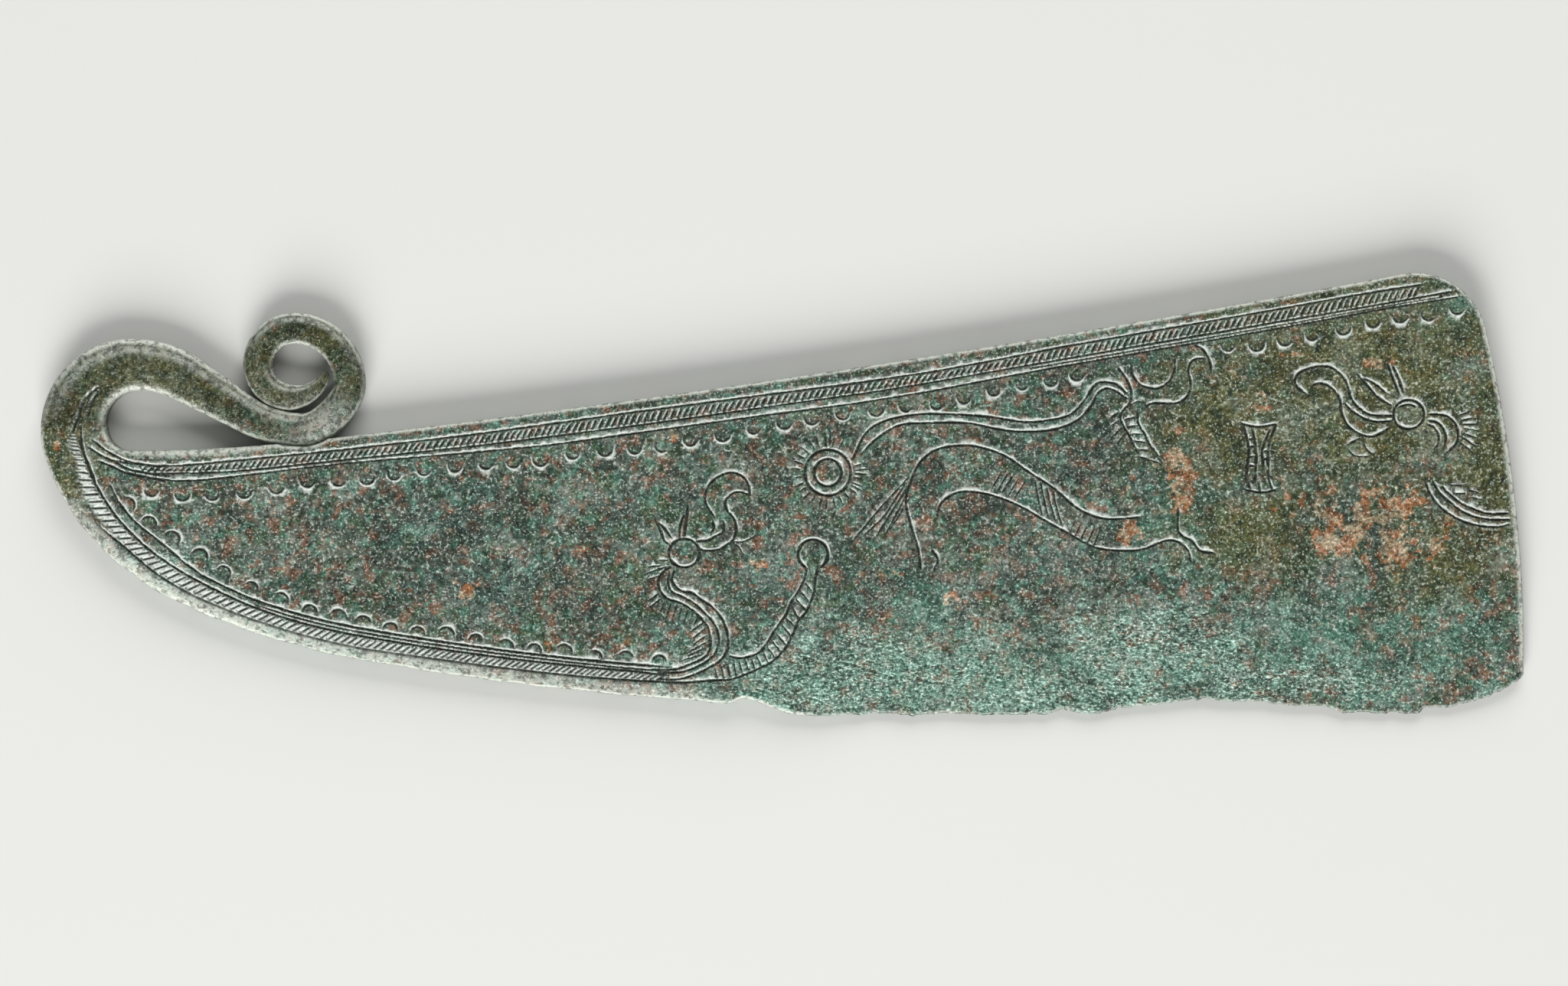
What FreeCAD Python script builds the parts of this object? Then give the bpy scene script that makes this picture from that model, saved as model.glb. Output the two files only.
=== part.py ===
import FreeCAD, Part
import Sketcher
import math
import os

# Bronze age razor: a flat cast blade whose handle loops back and ends in a rolled coil.
# The razor lies on its plain face. X runs along the blade from the loop to the heel,
# Y from the cutting edge to the back, and Z up through the plate. The origin is the middle
# of the outline, on the plane that the razor rests on. Lengths are in millimetres and
# angles in degrees.

Vector = FreeCAD.Vector
START, END, CENTRE = 1, 2, 3    # an element's points in a sketch
ORIGIN = -1                     # the sketch's own axis, whose start is the origin

SIZES = {
    # the whole outline
    "razor_length": 120.0,          # left side of the loop to the heel
    "blade_width": 35.9,            # cutting edge to the top corner
    "plate_thickness": 2.6,         # the back, the belly beside the loop, and the handle's root
    # belly, from the handle's root round the left end to the notch
    "lobe_radius": 10.0,            # beside the loop
    "lobe_end_slope": 64.5,         # slope where the lobe meets the belly
    "belly_radius": 20.8,
    "belly_end_slope": 25.7,
    "flank_radius": 57.5,
    "flank_end_slope": 10.2,
    "underside_radius": 250.0,
    "underside_end_slope": 3.2,     # slope at the notch
    # notch where the cutting edge begins
    "notch_step_run": 0.8,
    "notch_step_rise": 0.36,
    "notch_hollow_radius": 5.5,
    "notch_hollow_slope": 4.0,
    "notch_sweep_radius": 8.4,
    "notch_sweep_slope": 26.0,
    # cutting edge, worn hollow towards the heel
    "wear_radius": 45.0,
    "wear_slope": 9.0,
    # heel end
    "heel_sweep_radius": 20.0,
    "heel_sweep_slope": 30.0,
    "heel_corner_radius": 1.0,
    "heel_end_radius": 121.0,
    "top_corner_radius": 5.85,
    # back
    "back_radius": 1213.0,
    "loop_floor_radius": 131.0,
    "loop_corner_radius": 1.95,
    # plate section
    "rim_radius": 0.5,
    "taper_inset": 3.0,             # width of the full thickness along the back
    "taper_angle": 1.75,
    "bevel_width": 10.0,
    "bevel_runout": 12.0,           # length over which the bevels start
    "edge_land": 0.35,              # thickness left at the cutting edge
    "edge_height": 0.8,             # middle of that land above the rest plane
    # handle, middle line of the bar
    "loop_radius": 5.0,
    "neck_radius": 8.0,
    "neck_slope": 31.0,             # fall of the straight neck towards the blade
    "foot_radius": 9.1,
    "coil_side_radius": 3.81,
    "coil_top_radius": 4.45,
    "coil_left_radius": 2.95,
    "tip_radius": 3.3,
    "tip_turn": 62.0,
    # handle, width and thickness of the bar
    "root_width": 5.24,
    "loop_width": 4.12,
    "neck_width": 3.8,
    "neck_end_width": 2.75,
    "foot_width": 2.6,
    "coil_side_width": 2.55,
    "coil_top_width": 2.45,
    "coil_left_width": 2.3,
    "inner_turn_width": 1.8,
    "tip_width": 0.45,
    "neck_thickness": 2.5,
    "foot_thickness": 2.4,
    "coil_top_thickness": 2.25,
    "inner_turn_thickness": 2.0,
    "tip_thickness": 0.9,
    "bar_rounding": 0.95,           # corner radius of the handle's bar
    # how the coil lies against the back
    "coil_press": 0.35,             # depth of its seat in the back
    "seat_clearance": 0.1,
    "seat_left_turn": 25.0,         # how far the seat reaches round the coil's foot
    "seat_right_turn": 40.0,
    "coil_gap": 0.75,               # from the foot's middle up to the inner turn
}

SECTION_STEP = 15.0     # degrees of turn between two sections of the handle's bar
CUT_MARGIN = 2.0        # how far a cut's tool runs past the metal
CORNER_SHARE = 0.42     # a corner's radius is at most this share of the bar's lesser side
RIM_SHARE = 0.4         # the rim's radius is at most this share of the thinnest edge
LEAST_COIL_GAP = 0.4    # the coil's turns stay further apart than this

doc = FreeCAD.newDocument("bronze_razor")
sheet = doc.addObject("Spreadsheet::Sheet", "sizes")
for row, (alias, value) in enumerate(SIZES.items(), start=1):
    sheet.set("A%d" % row, alias)
    sheet.set("B%d" % row, repr(value))
    sheet.setAlias("B%d" % row, alias)
doc.recompute()


def size(alias):
    """A driving dimension, read from the sheet."""
    return float(getattr(sheet, alias))


def cell(alias):
    """The expression that names a driving dimension."""
    return "sizes." + alias


def sin(angle):
    return math.sin(math.radians(angle))


def cos(angle):
    return math.cos(math.radians(angle))


class Piece:
    """One line or arc of a path in the XY plane. A positive turn goes left."""

    def __init__(self, start, heading, length=0.0, radius=0.0, turn=0.0, alias=None):
        self.start = start
        self.heading = heading
        self.length = length
        self.radius = radius
        self.turn = turn
        self.alias = alias

    @property
    def side(self):
        return 1.0 if self.turn > 0 else -1.0

    @property
    def centre(self):
        return self.start + Vector(-sin(self.heading), cos(self.heading)) * self.radius * self.side

    def at(self, share):
        """Point and heading a share of the way along."""
        if not self.radius:
            way = Vector(cos(self.heading), sin(self.heading)) * self.length * share
            return self.start + way, self.heading
        heading = self.heading + self.turn * share
        out = Vector(sin(heading), -cos(heading)) * self.radius * self.side
        return self.centre + out, heading

    @property
    def end(self):
        return self.at(1.0)[0]


class Path:
    """A chain of lines and arcs, each starting where and as the last one ended."""

    def __init__(self, start, heading):
        self.pieces = []
        self.point = start
        self.heading = heading

    def add(self, piece):
        self.pieces.append(piece)
        self.point, self.heading = piece.at(1.0)
        return self

    def line(self, length, alias=None):
        return self.add(Piece(self.point, self.heading, length=length, alias=alias))

    def arc(self, alias, turn):
        return self.add(Piece(self.point, self.heading, radius=size(alias), turn=turn, alias=alias))


def circles_meet(centre_a, radius_a, centre_b, radius_b):
    """The higher of the two points where two circles meet."""
    apart = centre_b - centre_a
    along = (apart.Length ** 2 + radius_a ** 2 - radius_b ** 2) / (2 * apart.Length)
    across = math.sqrt(radius_a ** 2 - along ** 2)
    unit = apart / apart.Length
    normal = Vector(-unit.y, unit.x)
    foot = centre_a + unit * along
    return max(foot + normal * across, foot - normal * across, key=lambda point: point.y)


def belly_path(start):
    """From the handle's root down round the belly, through the notch, to the cutting edge."""
    path = Path(start, -90.0)
    path.arc("lobe_radius", 90.0 - size("lobe_end_slope"))
    path.arc("belly_radius", size("lobe_end_slope") - size("belly_end_slope"))
    path.arc("flank_radius", size("belly_end_slope") - size("flank_end_slope"))
    path.arc("underside_radius", size("flank_end_slope") - size("underside_end_slope"))
    step = Vector(size("notch_step_run"), size("notch_step_rise"))
    path.heading = math.degrees(math.atan2(step.y, step.x))
    path.line(step.Length)
    path.heading = -size("notch_hollow_slope")
    path.arc("notch_hollow_radius", size("notch_hollow_slope") - size("notch_sweep_slope"))
    path.arc("notch_sweep_radius", size("notch_sweep_slope"))
    return path


def heel_path(start):
    """From the end of the cutting edge round the heel to the upright end."""
    path = Path(start, 0.0)
    path.arc("heel_sweep_radius", size("heel_sweep_slope"))
    path.arc("heel_corner_radius", 90.0 - size("heel_sweep_slope"))
    return path


class Outline:
    """The blade's outline, anticlockwise from the left end of the handle's root."""

    def __init__(self):
        edge_level = -size("blade_width") / 2
        left = -size("razor_length") / 2
        right = size("razor_length") / 2
        drop = belly_path(Vector()).point.y
        self.root = Vector(left, edge_level - drop)
        belly = belly_path(self.root)
        self.notch = belly.pieces[3].end

        heel_reach = heel_path(Vector()).point
        heel_start = Vector(right - heel_reach.x, edge_level)
        heel = heel_path(heel_start)

        wear_reach = 4 * size("wear_radius") * sin(size("wear_slope"))
        edge = Path(belly.point, 0.0)
        edge.line(heel_start.x - wear_reach - belly.point.x)
        edge.arc("wear_radius", size("wear_slope"))
        edge.arc("wear_radius", -2 * size("wear_slope"))
        edge.arc("wear_radius", size("wear_slope"))

        end_radius = size("heel_end_radius")
        corner_radius = size("top_corner_radius")
        end_centre = Vector(right - end_radius, heel.point.y)
        corner_level = size("blade_width") / 2 - corner_radius
        rise = corner_level - end_centre.y
        reach = math.sqrt((end_radius - corner_radius) ** 2 - rise ** 2)
        corner_centre = end_centre + Vector(reach, rise)
        end_turn = math.degrees(math.atan2(rise, reach))

        self.floor_start = self.root + Vector(size("root_width") + size("loop_corner_radius"),
                                              -size("loop_corner_radius"))
        floor_radius = size("loop_floor_radius")
        back_radius = size("back_radius")
        self.floor_centre = self.floor_start + Vector(0, floor_radius)
        self.back_centre = circles_meet(self.floor_centre, back_radius - floor_radius,
                                        corner_centre, back_radius + corner_radius)
        to_corner = corner_centre - self.back_centre
        to_floor = self.floor_centre - self.back_centre
        corner_slope = math.degrees(math.atan2(to_corner.x, -to_corner.y))
        floor_slope = math.degrees(math.atan2(to_floor.x, -to_floor.y))

        top = Path(heel.point, 90.0)
        top.arc("heel_end_radius", end_turn)
        top.arc("top_corner_radius", 90.0 + corner_slope - end_turn)
        top.arc("back_radius", floor_slope - corner_slope)
        self.floor_end = top.point
        top.arc("loop_floor_radius", -floor_slope)
        top.arc("loop_corner_radius", -90.0)
        top.heading = 180.0
        top.line(size("root_width"), "root_width")

        self.heel_end = top.pieces[0]
        self.root_line = top.pieces[-1]
        self.pieces = belly.pieces + edge.pieces + heel.pieces + top.pieces
        chord = top.pieces[1].end - self.floor_end
        self.back_slope = math.degrees(math.atan2(chord.y, chord.x))

    def back_level(self, x):
        """Height of the back's outline at x."""
        if x < self.floor_end.x:
            centre, radius = self.floor_centre, size("loop_floor_radius")
        else:
            centre, radius = self.back_centre, size("back_radius")
        return centre.y - math.sqrt(radius ** 2 - (x - centre.x) ** 2)

    def top_height(self, x, y):
        """Height of the plate's upper face over a point, before the bevels."""
        below = (self.back_level(0.0) - y) * cos(self.back_slope) + x * sin(self.back_slope)
        return size("plate_thickness") - max(0.0, below - size("taper_inset")) * math.tan(
            math.radians(size("taper_angle")))


def new_body(name):
    body = doc.addObject("PartDesign::Body", name)
    body.Label = name
    body.Placement = FreeCAD.Placement()
    return body


def find_plane(body, role):
    return [plane for plane in body.Origin.OriginFeatures if plane.Role == role][0]


def flat_sketch(body, name, placement=None):
    """A sketch on the rest plane, or stood up at a placement given in the part's frame."""
    sketch = body.newObject("Sketcher::SketchObject", name)
    sketch.AttachmentSupport = [(find_plane(body, "XY_Plane"), "")]
    sketch.MapMode = "FlatFace"
    if placement:
        sketch.AttachmentOffset = placement
    return sketch


def upright(point, heading):
    """Placement of an upright sketch: its x to the left of the heading, its y up."""
    across = Vector(-sin(heading), cos(heading), 0)
    ahead = Vector(cos(heading), sin(heading), 0)
    return FreeCAD.Placement(Vector(point.x, point.y, 0),
                             FreeCAD.Rotation(across, Vector(0, 0, 1), ahead, "ZXY"))


def bind(sketch, kind, *where_and_value, expression):
    """Add a dimension and tie it to the sheet."""
    index = sketch.addConstraint(Sketcher.Constraint(kind, *where_and_value))
    sketch.setExpression("Constraints[%d]" % index, expression)


def draw_pieces(sketch, pieces):
    """Draw a closed chain, joined piece to piece, with each radius tied to the sheet."""
    ends = []
    for piece in pieces:
        if piece.radius:
            circle = Part.Circle(piece.centre, Vector(0, 0, 1), piece.radius)
            angles = [math.radians(heading - 90.0 * piece.side)
                      for heading in (piece.heading, piece.heading + piece.turn)]
            if piece.turn < 0:
                angles.reverse()
            sketch.addGeometry(Part.ArcOfCircle(circle, angles[0], angles[1]))
        else:
            sketch.addGeometry(Part.LineSegment(piece.start, piece.end))
        ends.append((START, END) if piece.turn >= 0 else (END, START))
    for index, piece in enumerate(pieces):
        after = (index + 1) % len(pieces)
        follow = pieces[after]
        bend = (follow.heading - piece.heading - piece.turn + 180.0) % 360.0 - 180.0
        smooth = abs(bend) < 1e-6 and (piece.radius or follow.radius)
        kind = "Tangent" if smooth else "Coincident"
        sketch.addConstraint(Sketcher.Constraint(kind, index, ends[index][1],
                                                 after, ends[after][0]))
    for index, piece in enumerate(pieces):
        if piece.radius:
            bind(sketch, "Radius", index, piece.radius, expression=cell(piece.alias))
    return ends


def draw_polygon(sketch, corners):
    """Draw a closed polygon whose corners are given as pairs of expressions."""
    points = [Vector(*[float(sketch.evalExpression(text)) for text in corner])
              for corner in corners]
    for index, point in enumerate(points):
        sketch.addGeometry(Part.LineSegment(point, points[(index + 1) % len(points)]))
    for index, (point, (across, up)) in enumerate(zip(points, corners)):
        after = (index + 1) % len(points)
        sketch.addConstraint(Sketcher.Constraint("Coincident", index, END, after, START))
        bind(sketch, "DistanceX", ORIGIN, START, index, START, point.x, expression=across)
        bind(sketch, "DistanceY", ORIGIN, START, index, START, point.y, expression=up)


def removed(body, feature, before):
    """Volume that a cut took away; a cut that takes nothing is an error."""
    doc.recompute()
    taken = before - body.Shape.Volume
    print("%-16s removes %8.2f mm3" % (feature.Label, taken))
    if taken <= 0:
        raise RuntimeError(feature.Label + " removes nothing")
    return body.Shape.Volume


def make_blade(outline):
    """The plate: padded outline, tapered face, round rims, two bevels and the coil's seat."""
    body = new_body("blade")
    profile = flat_sketch(body, "blade_outline")
    ends = draw_pieces(profile, outline.pieces)
    heel = outline.pieces.index(outline.heel_end)
    bind(profile, "DistanceX", ORIGIN, START, heel, ends[heel][0], outline.heel_end.start.x,
         expression=cell("razor_length") + " / 2")
    root = outline.pieces.index(outline.root_line)
    bind(profile, "DistanceX", root, END, root, START, size("root_width"),
         expression=cell("root_width"))
    pad = body.newObject("PartDesign::Pad", "plate")
    pad.Profile = profile
    pad.setExpression("Length", cell("plate_thickness"))
    doc.recompute()
    volume = body.Shape.Volume
    print("plate            holds   %8.2f mm3" % volume)

    taper_plane = upright(Vector(0, outline.back_level(0.0)), outline.back_slope)
    taper_sketch = flat_sketch(body, "taper_profile", taper_plane)
    near = "%s - %s" % (CUT_MARGIN, cell("taper_inset"))
    far = "-%s - 2 * %s" % (cell("taper_inset"), cell("blade_width"))
    above = "%s + %s * tan(%s)" % (cell("plate_thickness"), CUT_MARGIN, cell("taper_angle"))
    under = "%s - 2 * %s * tan(%s)" % (cell("plate_thickness"), cell("blade_width"),
                                       cell("taper_angle"))
    draw_polygon(taper_sketch, [(near, above), (far, above), (far, under)])
    taper = body.newObject("PartDesign::Pocket", "taper")
    taper.Profile = taper_sketch
    taper.Midplane = True
    taper.setExpression("Length", cell("razor_length") + " * 2")
    volume = removed(body, taper, volume)

    rims = body.newObject("PartDesign::Fillet", "rims")
    rims.Base = (taper, rim_edges(taper.Shape, outline))
    thin = outline.top_height(size("razor_length") / 2, -size("blade_width") / 2)
    rims.setExpression("Radius", "min(%s; %.4f)" % (cell("rim_radius"), RIM_SHARE * thin))
    volume = removed(body, rims, volume)

    for name, upper in (("upper_bevel", True), ("lower_bevel", False)):
        bevel = make_bevel(body, outline, name, upper)
        volume = removed(body, bevel, volume)
    return body, volume


def rim_edges(shape, outline):
    """Names of the edges round both faces, without those of the handle's root."""
    names = []
    for number, edge in enumerate(shape.Edges, start=1):
        box = edge.BoundBox
        upright_edge = edge.Length < 1.01 * size("plate_thickness") and box.ZLength > 0.5 * edge.Length
        at_root = box.YMin > outline.root.y - 1e-4 and box.XMax < outline.floor_start.x
        walls = [face for face in shape.Faces
                 if any(edge.isSame(other) for other in face.Edges)
                 and abs(face.normalAt(0, 0).z) < 0.5]
        if walls and not upright_edge and not at_root:
            names.append("Edge%d" % number)
    return names


def make_bevel(body, outline, name, upper):
    """One side of the cutting edge: it starts at the notch and runs to the heel."""
    edge_level = -size("blade_width") / 2
    width = size("bevel_width")
    full_x = outline.notch.x + size("bevel_runout")
    stations = [(outline.notch.x, 0.0, "0"),
                (full_x, width, cell("bevel_width")),
                (size("razor_length") / 2 + CUT_MARGIN, width, cell("bevel_width"))]
    if upper:
        slope = "(%%.6f - %s - %s / 2) / %s" % (cell("edge_height"), cell("edge_land"),
                                              cell("bevel_width"))
    else:
        slope = "-(%s - %s / 2) / %s" % (cell("edge_height"), cell("edge_land"),
                                       cell("bevel_width"))
    outer = "-%s / 2 - %s" % (cell("blade_width"), CUT_MARGIN)
    sketches = []
    for number, (x, reach, reach_text) in enumerate(stations):
        start, rise = 0.0, slope
        if upper:
            start = outline.top_height(x, edge_level + reach)
            rise = slope % outline.top_height(max(x, full_x), edge_level + width)
        sketch = flat_sketch(body, "%s_%d" % (name, number), upright(Vector(x, 0), 0.0))
        inner = "%s + %s - %s / 2" % (reach_text, CUT_MARGIN, cell("blade_width"))
        proud = "%.6f + %s * %s" % (start, CUT_MARGIN, rise)
        sunk = "%.6f - (%s + %s) * %s" % (start, reach_text, CUT_MARGIN, rise)
        draw_polygon(sketch, [(inner, proud), (outer, proud), (outer, sunk)])
        sketches.append(sketch)
    bevel = body.newObject("PartDesign::SubtractiveLoft", name)
    bevel.Profile = (sketches[0], [""])
    bevel.Sections = [(sketch, [""]) for sketch in sketches[1:]]
    bevel.Ruled = True
    return bevel


class Handle:
    """Middle line of the handle's bar, with its width and thickness where the bends meet."""

    def __init__(self, outline):
        self.start = outline.root + Vector(size("root_width") / 2, 0)
        self.slope = size("neck_slope")
        loop = Path(self.start, 90.0)
        loop.arc("loop_radius", -90.0)
        loop.arc("neck_radius", -self.slope)
        foot_fall = size("foot_radius") * (1 - cos(self.slope))
        foot_reach = size("foot_radius") * sin(self.slope)
        foot = Vector(loop.point.x + 2 * foot_reach, 0)
        for _ in range(30):
            seat = outline.back_level(foot.x) - size("coil_press")
            foot.y = seat + size("foot_width") / 2
            straight = (loop.point.y - foot.y - foot_fall) / sin(self.slope)
            foot.x = loop.point.x + straight * cos(self.slope) + foot_reach
        loop.line(straight)
        self.foot = foot

        inner_level = (size("foot_width") + size("inner_turn_width")) / 2 + size("coil_gap")
        left_level = (size("coil_side_radius") + size("coil_top_radius")
                      - size("coil_left_radius"))
        coil = Path(loop.point, loop.heading)
        coil.arc("foot_radius", self.slope)
        coil.arc("coil_side_radius", 90.0)
        coil.arc("coil_top_radius", 90.0)
        coil.arc("coil_left_radius", 90.0)
        coil.add(Piece(coil.point, coil.heading, radius=left_level - inner_level, turn=90.0))
        coil.arc("tip_radius", size("tip_turn"))
        self.neck = loop.pieces
        self.coil = coil.pieces


NECK_JOINTS = [("root_width", "plate_thickness", "rim_radius"),
               ("loop_width", "neck_thickness", "bar_rounding"),
               ("neck_width", "neck_thickness", "bar_rounding"),
               ("neck_end_width", "neck_thickness", "bar_rounding")]
COIL_JOINTS = [("neck_end_width", "neck_thickness", "bar_rounding"),
               ("foot_width", "foot_thickness", "bar_rounding"),
               ("coil_side_width", "foot_thickness", "bar_rounding"),
               ("coil_top_width", "coil_top_thickness", "bar_rounding"),
               ("coil_left_width", "coil_top_thickness", "bar_rounding"),
               ("inner_turn_width", "inner_turn_thickness", "bar_rounding"),
               ("tip_width", "tip_thickness", "bar_rounding")]


def blend(first, second, share):
    """Expression between two named sizes."""
    if first == second or share == 0:
        return cell(first)
    return "(%s * %.6f + %s * %.6f)" % (cell(first), 1 - share, cell(second), share)


def blend_value(first, second, share):
    return size(first) * (1 - share) + size(second) * share


def bar_section(body, name, place, before, after, share):
    """A rounded rectangle square to the bar's middle line, tied to the sheet."""
    width, thick, corner = [blend_value(a, b, share) for a, b in zip(before, after)]
    width_text, thick_text, corner_text = [blend(a, b, share) for a, b in zip(before, after)]
    corner = min(corner, CORNER_SHARE * width, CORNER_SHARE * thick)
    corner_text = "min(%s; %.4f * %s; %.4f * %s)" % (corner_text, CORNER_SHARE, width_text,
                                                   CORNER_SHARE, thick_text)
    middle = size("plate_thickness") / 2
    x, y = width / 2, thick / 2
    sketch = flat_sketch(body, name, place)
    runs = [((-x + corner, -y), (x - corner, -y)), ((x, -y + corner), (x, y - corner)),
            ((x - corner, y), (-x + corner, y)), ((-x, y - corner), (-x, -y + corner))]
    for start, end in runs:
        sketch.addGeometry(Part.LineSegment(Vector(start[0], start[1] + middle, 0),
                                            Vector(end[0], end[1] + middle, 0)))
    for number, (u, v) in enumerate([(1, -1), (1, 1), (-1, 1), (-1, -1)]):
        centre = Vector(u * (x - corner), v * (y - corner) + middle, 0)
        circle = Part.Circle(centre, Vector(0, 0, 1), corner)
        turn = math.radians(90 * (number - 1))
        sketch.addGeometry(Part.ArcOfCircle(circle, turn, turn + math.pi / 2))
    bottom, right, top, left = 0, 1, 2, 3
    for line in range(4):
        arc = 4 + line
        sketch.addConstraint(Sketcher.Constraint("Tangent", line, END, arc, START))
        sketch.addConstraint(Sketcher.Constraint("Tangent", arc, END, (line + 1) % 4, START))
    sketch.addConstraint(Sketcher.Constraint("Horizontal", bottom))
    sketch.addConstraint(Sketcher.Constraint("Vertical", right))
    for arc in (5, 6, 7):
        sketch.addConstraint(Sketcher.Constraint("Equal", 4, arc))
    bind(sketch, "Radius", 4, corner, expression=corner_text)
    bind(sketch, "DistanceX", left, START, right, START, width, expression=width_text)
    bind(sketch, "DistanceY", bottom, START, top, START, thick, expression=thick_text)
    bind(sketch, "DistanceX", left, START, ORIGIN, START, x, expression=width_text + " / 2")
    bind(sketch, "DistanceY", ORIGIN, START, bottom, START, middle - y,
         expression="(%s - %s) / 2" % (cell("plate_thickness"), thick_text))
    return sketch


def make_bar(name, pieces, joints):
    """A stretch of the handle: one loft through sections square to its middle line."""
    body = new_body(name)
    sketches = []
    for piece, before, after in zip(pieces, joints, joints[1:]):
        steps = max(2, math.ceil(abs(piece.turn) / SECTION_STEP))
        first = 1 if sketches else 0
        for step in range(first, steps + 1):
            share = step / steps
            point, heading = piece.at(share)
            sketches.append(bar_section(body, "%s_section_%d" % (name, len(sketches)),
                                        upright(point, heading), before, after, share))
    bar = body.newObject("PartDesign::AdditiveLoft", name + "_bar")
    bar.Profile = (sketches[0], [""])
    bar.Sections = [(sketch, [""]) for sketch in sketches[1:]]
    doc.recompute()
    return body


def make_coil_seat(body, handle, volume):
    """The shallow hollow in the back that the coil's foot lies in."""
    out = size("foot_width") / 2 + size("seat_clearance")
    bottom = handle.foot - Vector(0, out)
    sketch = flat_sketch(body, "coil_seat_profile")
    ends = []
    for index, (alias, turn) in enumerate([("foot_radius", -size("seat_left_turn")),
                                           ("coil_side_radius", size("seat_right_turn"))]):
        radius = size(alias) + out
        centre = bottom + Vector(0, radius)
        ends.append(centre + Vector(sin(turn), -cos(turn)) * radius)
        angles = sorted([-90.0, -90.0 + turn])
        circle = Part.Circle(centre, Vector(0, 0, 1), radius)
        sketch.addGeometry(Part.ArcOfCircle(circle, math.radians(angles[0]),
                                            math.radians(angles[1])))
        bind(sketch, "Radius", index, radius,
             expression="%s + %s / 2 + %s" % (cell(alias), cell("foot_width"),
                                              cell("seat_clearance")))
    sketch.addGeometry(Part.LineSegment(ends[1], ends[0]))
    left, right, lid = 0, 1, 2
    sketch.addConstraint(Sketcher.Constraint("Tangent", left, END, right, START))
    sketch.addConstraint(Sketcher.Constraint("Coincident", right, END, lid, START))
    sketch.addConstraint(Sketcher.Constraint("Coincident", lid, END, left, START))
    sketch.addConstraint(Sketcher.Constraint("Vertical", left, CENTRE, left, END))
    sketch.addConstraint(Sketcher.Constraint("DistanceX", ORIGIN, START, left, END, bottom.x))
    sketch.addConstraint(Sketcher.Constraint("DistanceY", ORIGIN, START, left, END, bottom.y))
    seat = body.newObject("PartDesign::Pocket", "coil_seat")
    seat.Profile = sketch
    seat.Reversed = True
    seat.setExpression("Length", cell("plate_thickness") + " * 2")
    return removed(body, seat, volume)


def least_gap(pieces, joints, steps=60):
    """Least distance between the bar's two sides where it passes itself."""
    sides = []
    travelled = 0.0
    last = pieces[0].start
    for piece, before, after in zip(pieces, joints, joints[1:]):
        for step in range(steps):
            point, heading = piece.at(step / steps)
            travelled += (point - last).Length
            last = point
            width = blend_value(before[0], after[0], step / steps)
            across = Vector(-sin(heading), cos(heading)) * width / 2
            sides.append((travelled, point + across, point - across))
    half_turn = math.pi * size("coil_left_radius")
    return min((outer - inner).Length
               for travel, inner, _ in sides
               for other_travel, _, outer in sides
               if other_travel - travel > half_turn)


outline = Outline()
handle = Handle(outline)
blade, blade_volume = make_blade(outline)
make_coil_seat(blade, handle, blade_volume)
neck = make_bar("handle_neck", handle.neck, NECK_JOINTS)
coil = make_bar("handle_coil", handle.coil, COIL_JOINTS)

for thing in doc.Objects:
    for state in ("Invalid", "Error"):
        if state in thing.State:
            raise RuntimeError("%s is %s" % (thing.Label, thing.State))

gap = least_gap(handle.neck + handle.coil, NECK_JOINTS + COIL_JOINTS[1:])
print("coil's least gap to itself and the neck %.3f mm" % gap)
if gap <= LEAST_COIL_GAP:
    print("the coil's turns are closer than %.1f mm" % LEAST_COIL_GAP)

os.makedirs("parts", exist_ok=True)
for body in (blade, neck, coil):
    shape = body.Shape
    if shape.isNull() or not shape.isValid() or len(shape.Solids) != 1:
        raise RuntimeError(body.Label + " has no valid solid")
    shape.exportStep("parts/%s.step" % body.Label)
    box = shape.BoundBox
    print("%-12s %8.2f mm3  x %.2f..%.2f  y %.2f..%.2f  z %.2f..%.2f"
          % (body.Label, shape.Volume, box.XMin, box.XMax, box.YMin, box.YMax,
             box.ZMin, box.ZMax))
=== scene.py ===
import math

import bpy
import numpy as np
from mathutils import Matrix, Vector, geometry, kdtree


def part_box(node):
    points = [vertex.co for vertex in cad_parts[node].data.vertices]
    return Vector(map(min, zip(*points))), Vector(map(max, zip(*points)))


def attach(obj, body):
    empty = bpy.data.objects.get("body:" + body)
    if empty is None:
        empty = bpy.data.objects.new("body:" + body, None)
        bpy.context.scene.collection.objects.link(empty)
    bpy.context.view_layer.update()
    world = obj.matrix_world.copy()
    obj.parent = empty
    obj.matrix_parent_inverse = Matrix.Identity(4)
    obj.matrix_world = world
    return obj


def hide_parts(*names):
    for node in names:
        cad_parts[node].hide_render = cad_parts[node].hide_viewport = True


# A bronze age razor lying on its plain face, engraved side up. Shapes are worked out in
# millimetres, in the row's frame, and turned to metres when a mesh is made.
# X runs from the handle's loop to the heel, Y from the cutting edge to the back, Z up.

MM = 0.001
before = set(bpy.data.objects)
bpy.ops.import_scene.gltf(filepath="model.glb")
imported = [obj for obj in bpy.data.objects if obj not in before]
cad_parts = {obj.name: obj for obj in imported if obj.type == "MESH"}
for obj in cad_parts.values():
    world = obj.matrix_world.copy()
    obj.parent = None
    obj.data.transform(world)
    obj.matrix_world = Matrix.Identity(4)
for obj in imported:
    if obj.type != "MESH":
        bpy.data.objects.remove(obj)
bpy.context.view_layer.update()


def node_box(name):
    low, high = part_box(name)
    return np.array(low) / MM, np.array(high) / MM


blade_low, blade_high = node_box("blade")
neck_low = node_box("handle_neck")[0]
LENGTH = blade_high[0] - neck_low[0]
WIDTH = blade_high[1] - blade_low[1]
THICK = blade_high[2]
HALF_LENGTH = LENGTH / 2
HALF_WIDTH = WIDTH / 2

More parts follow.
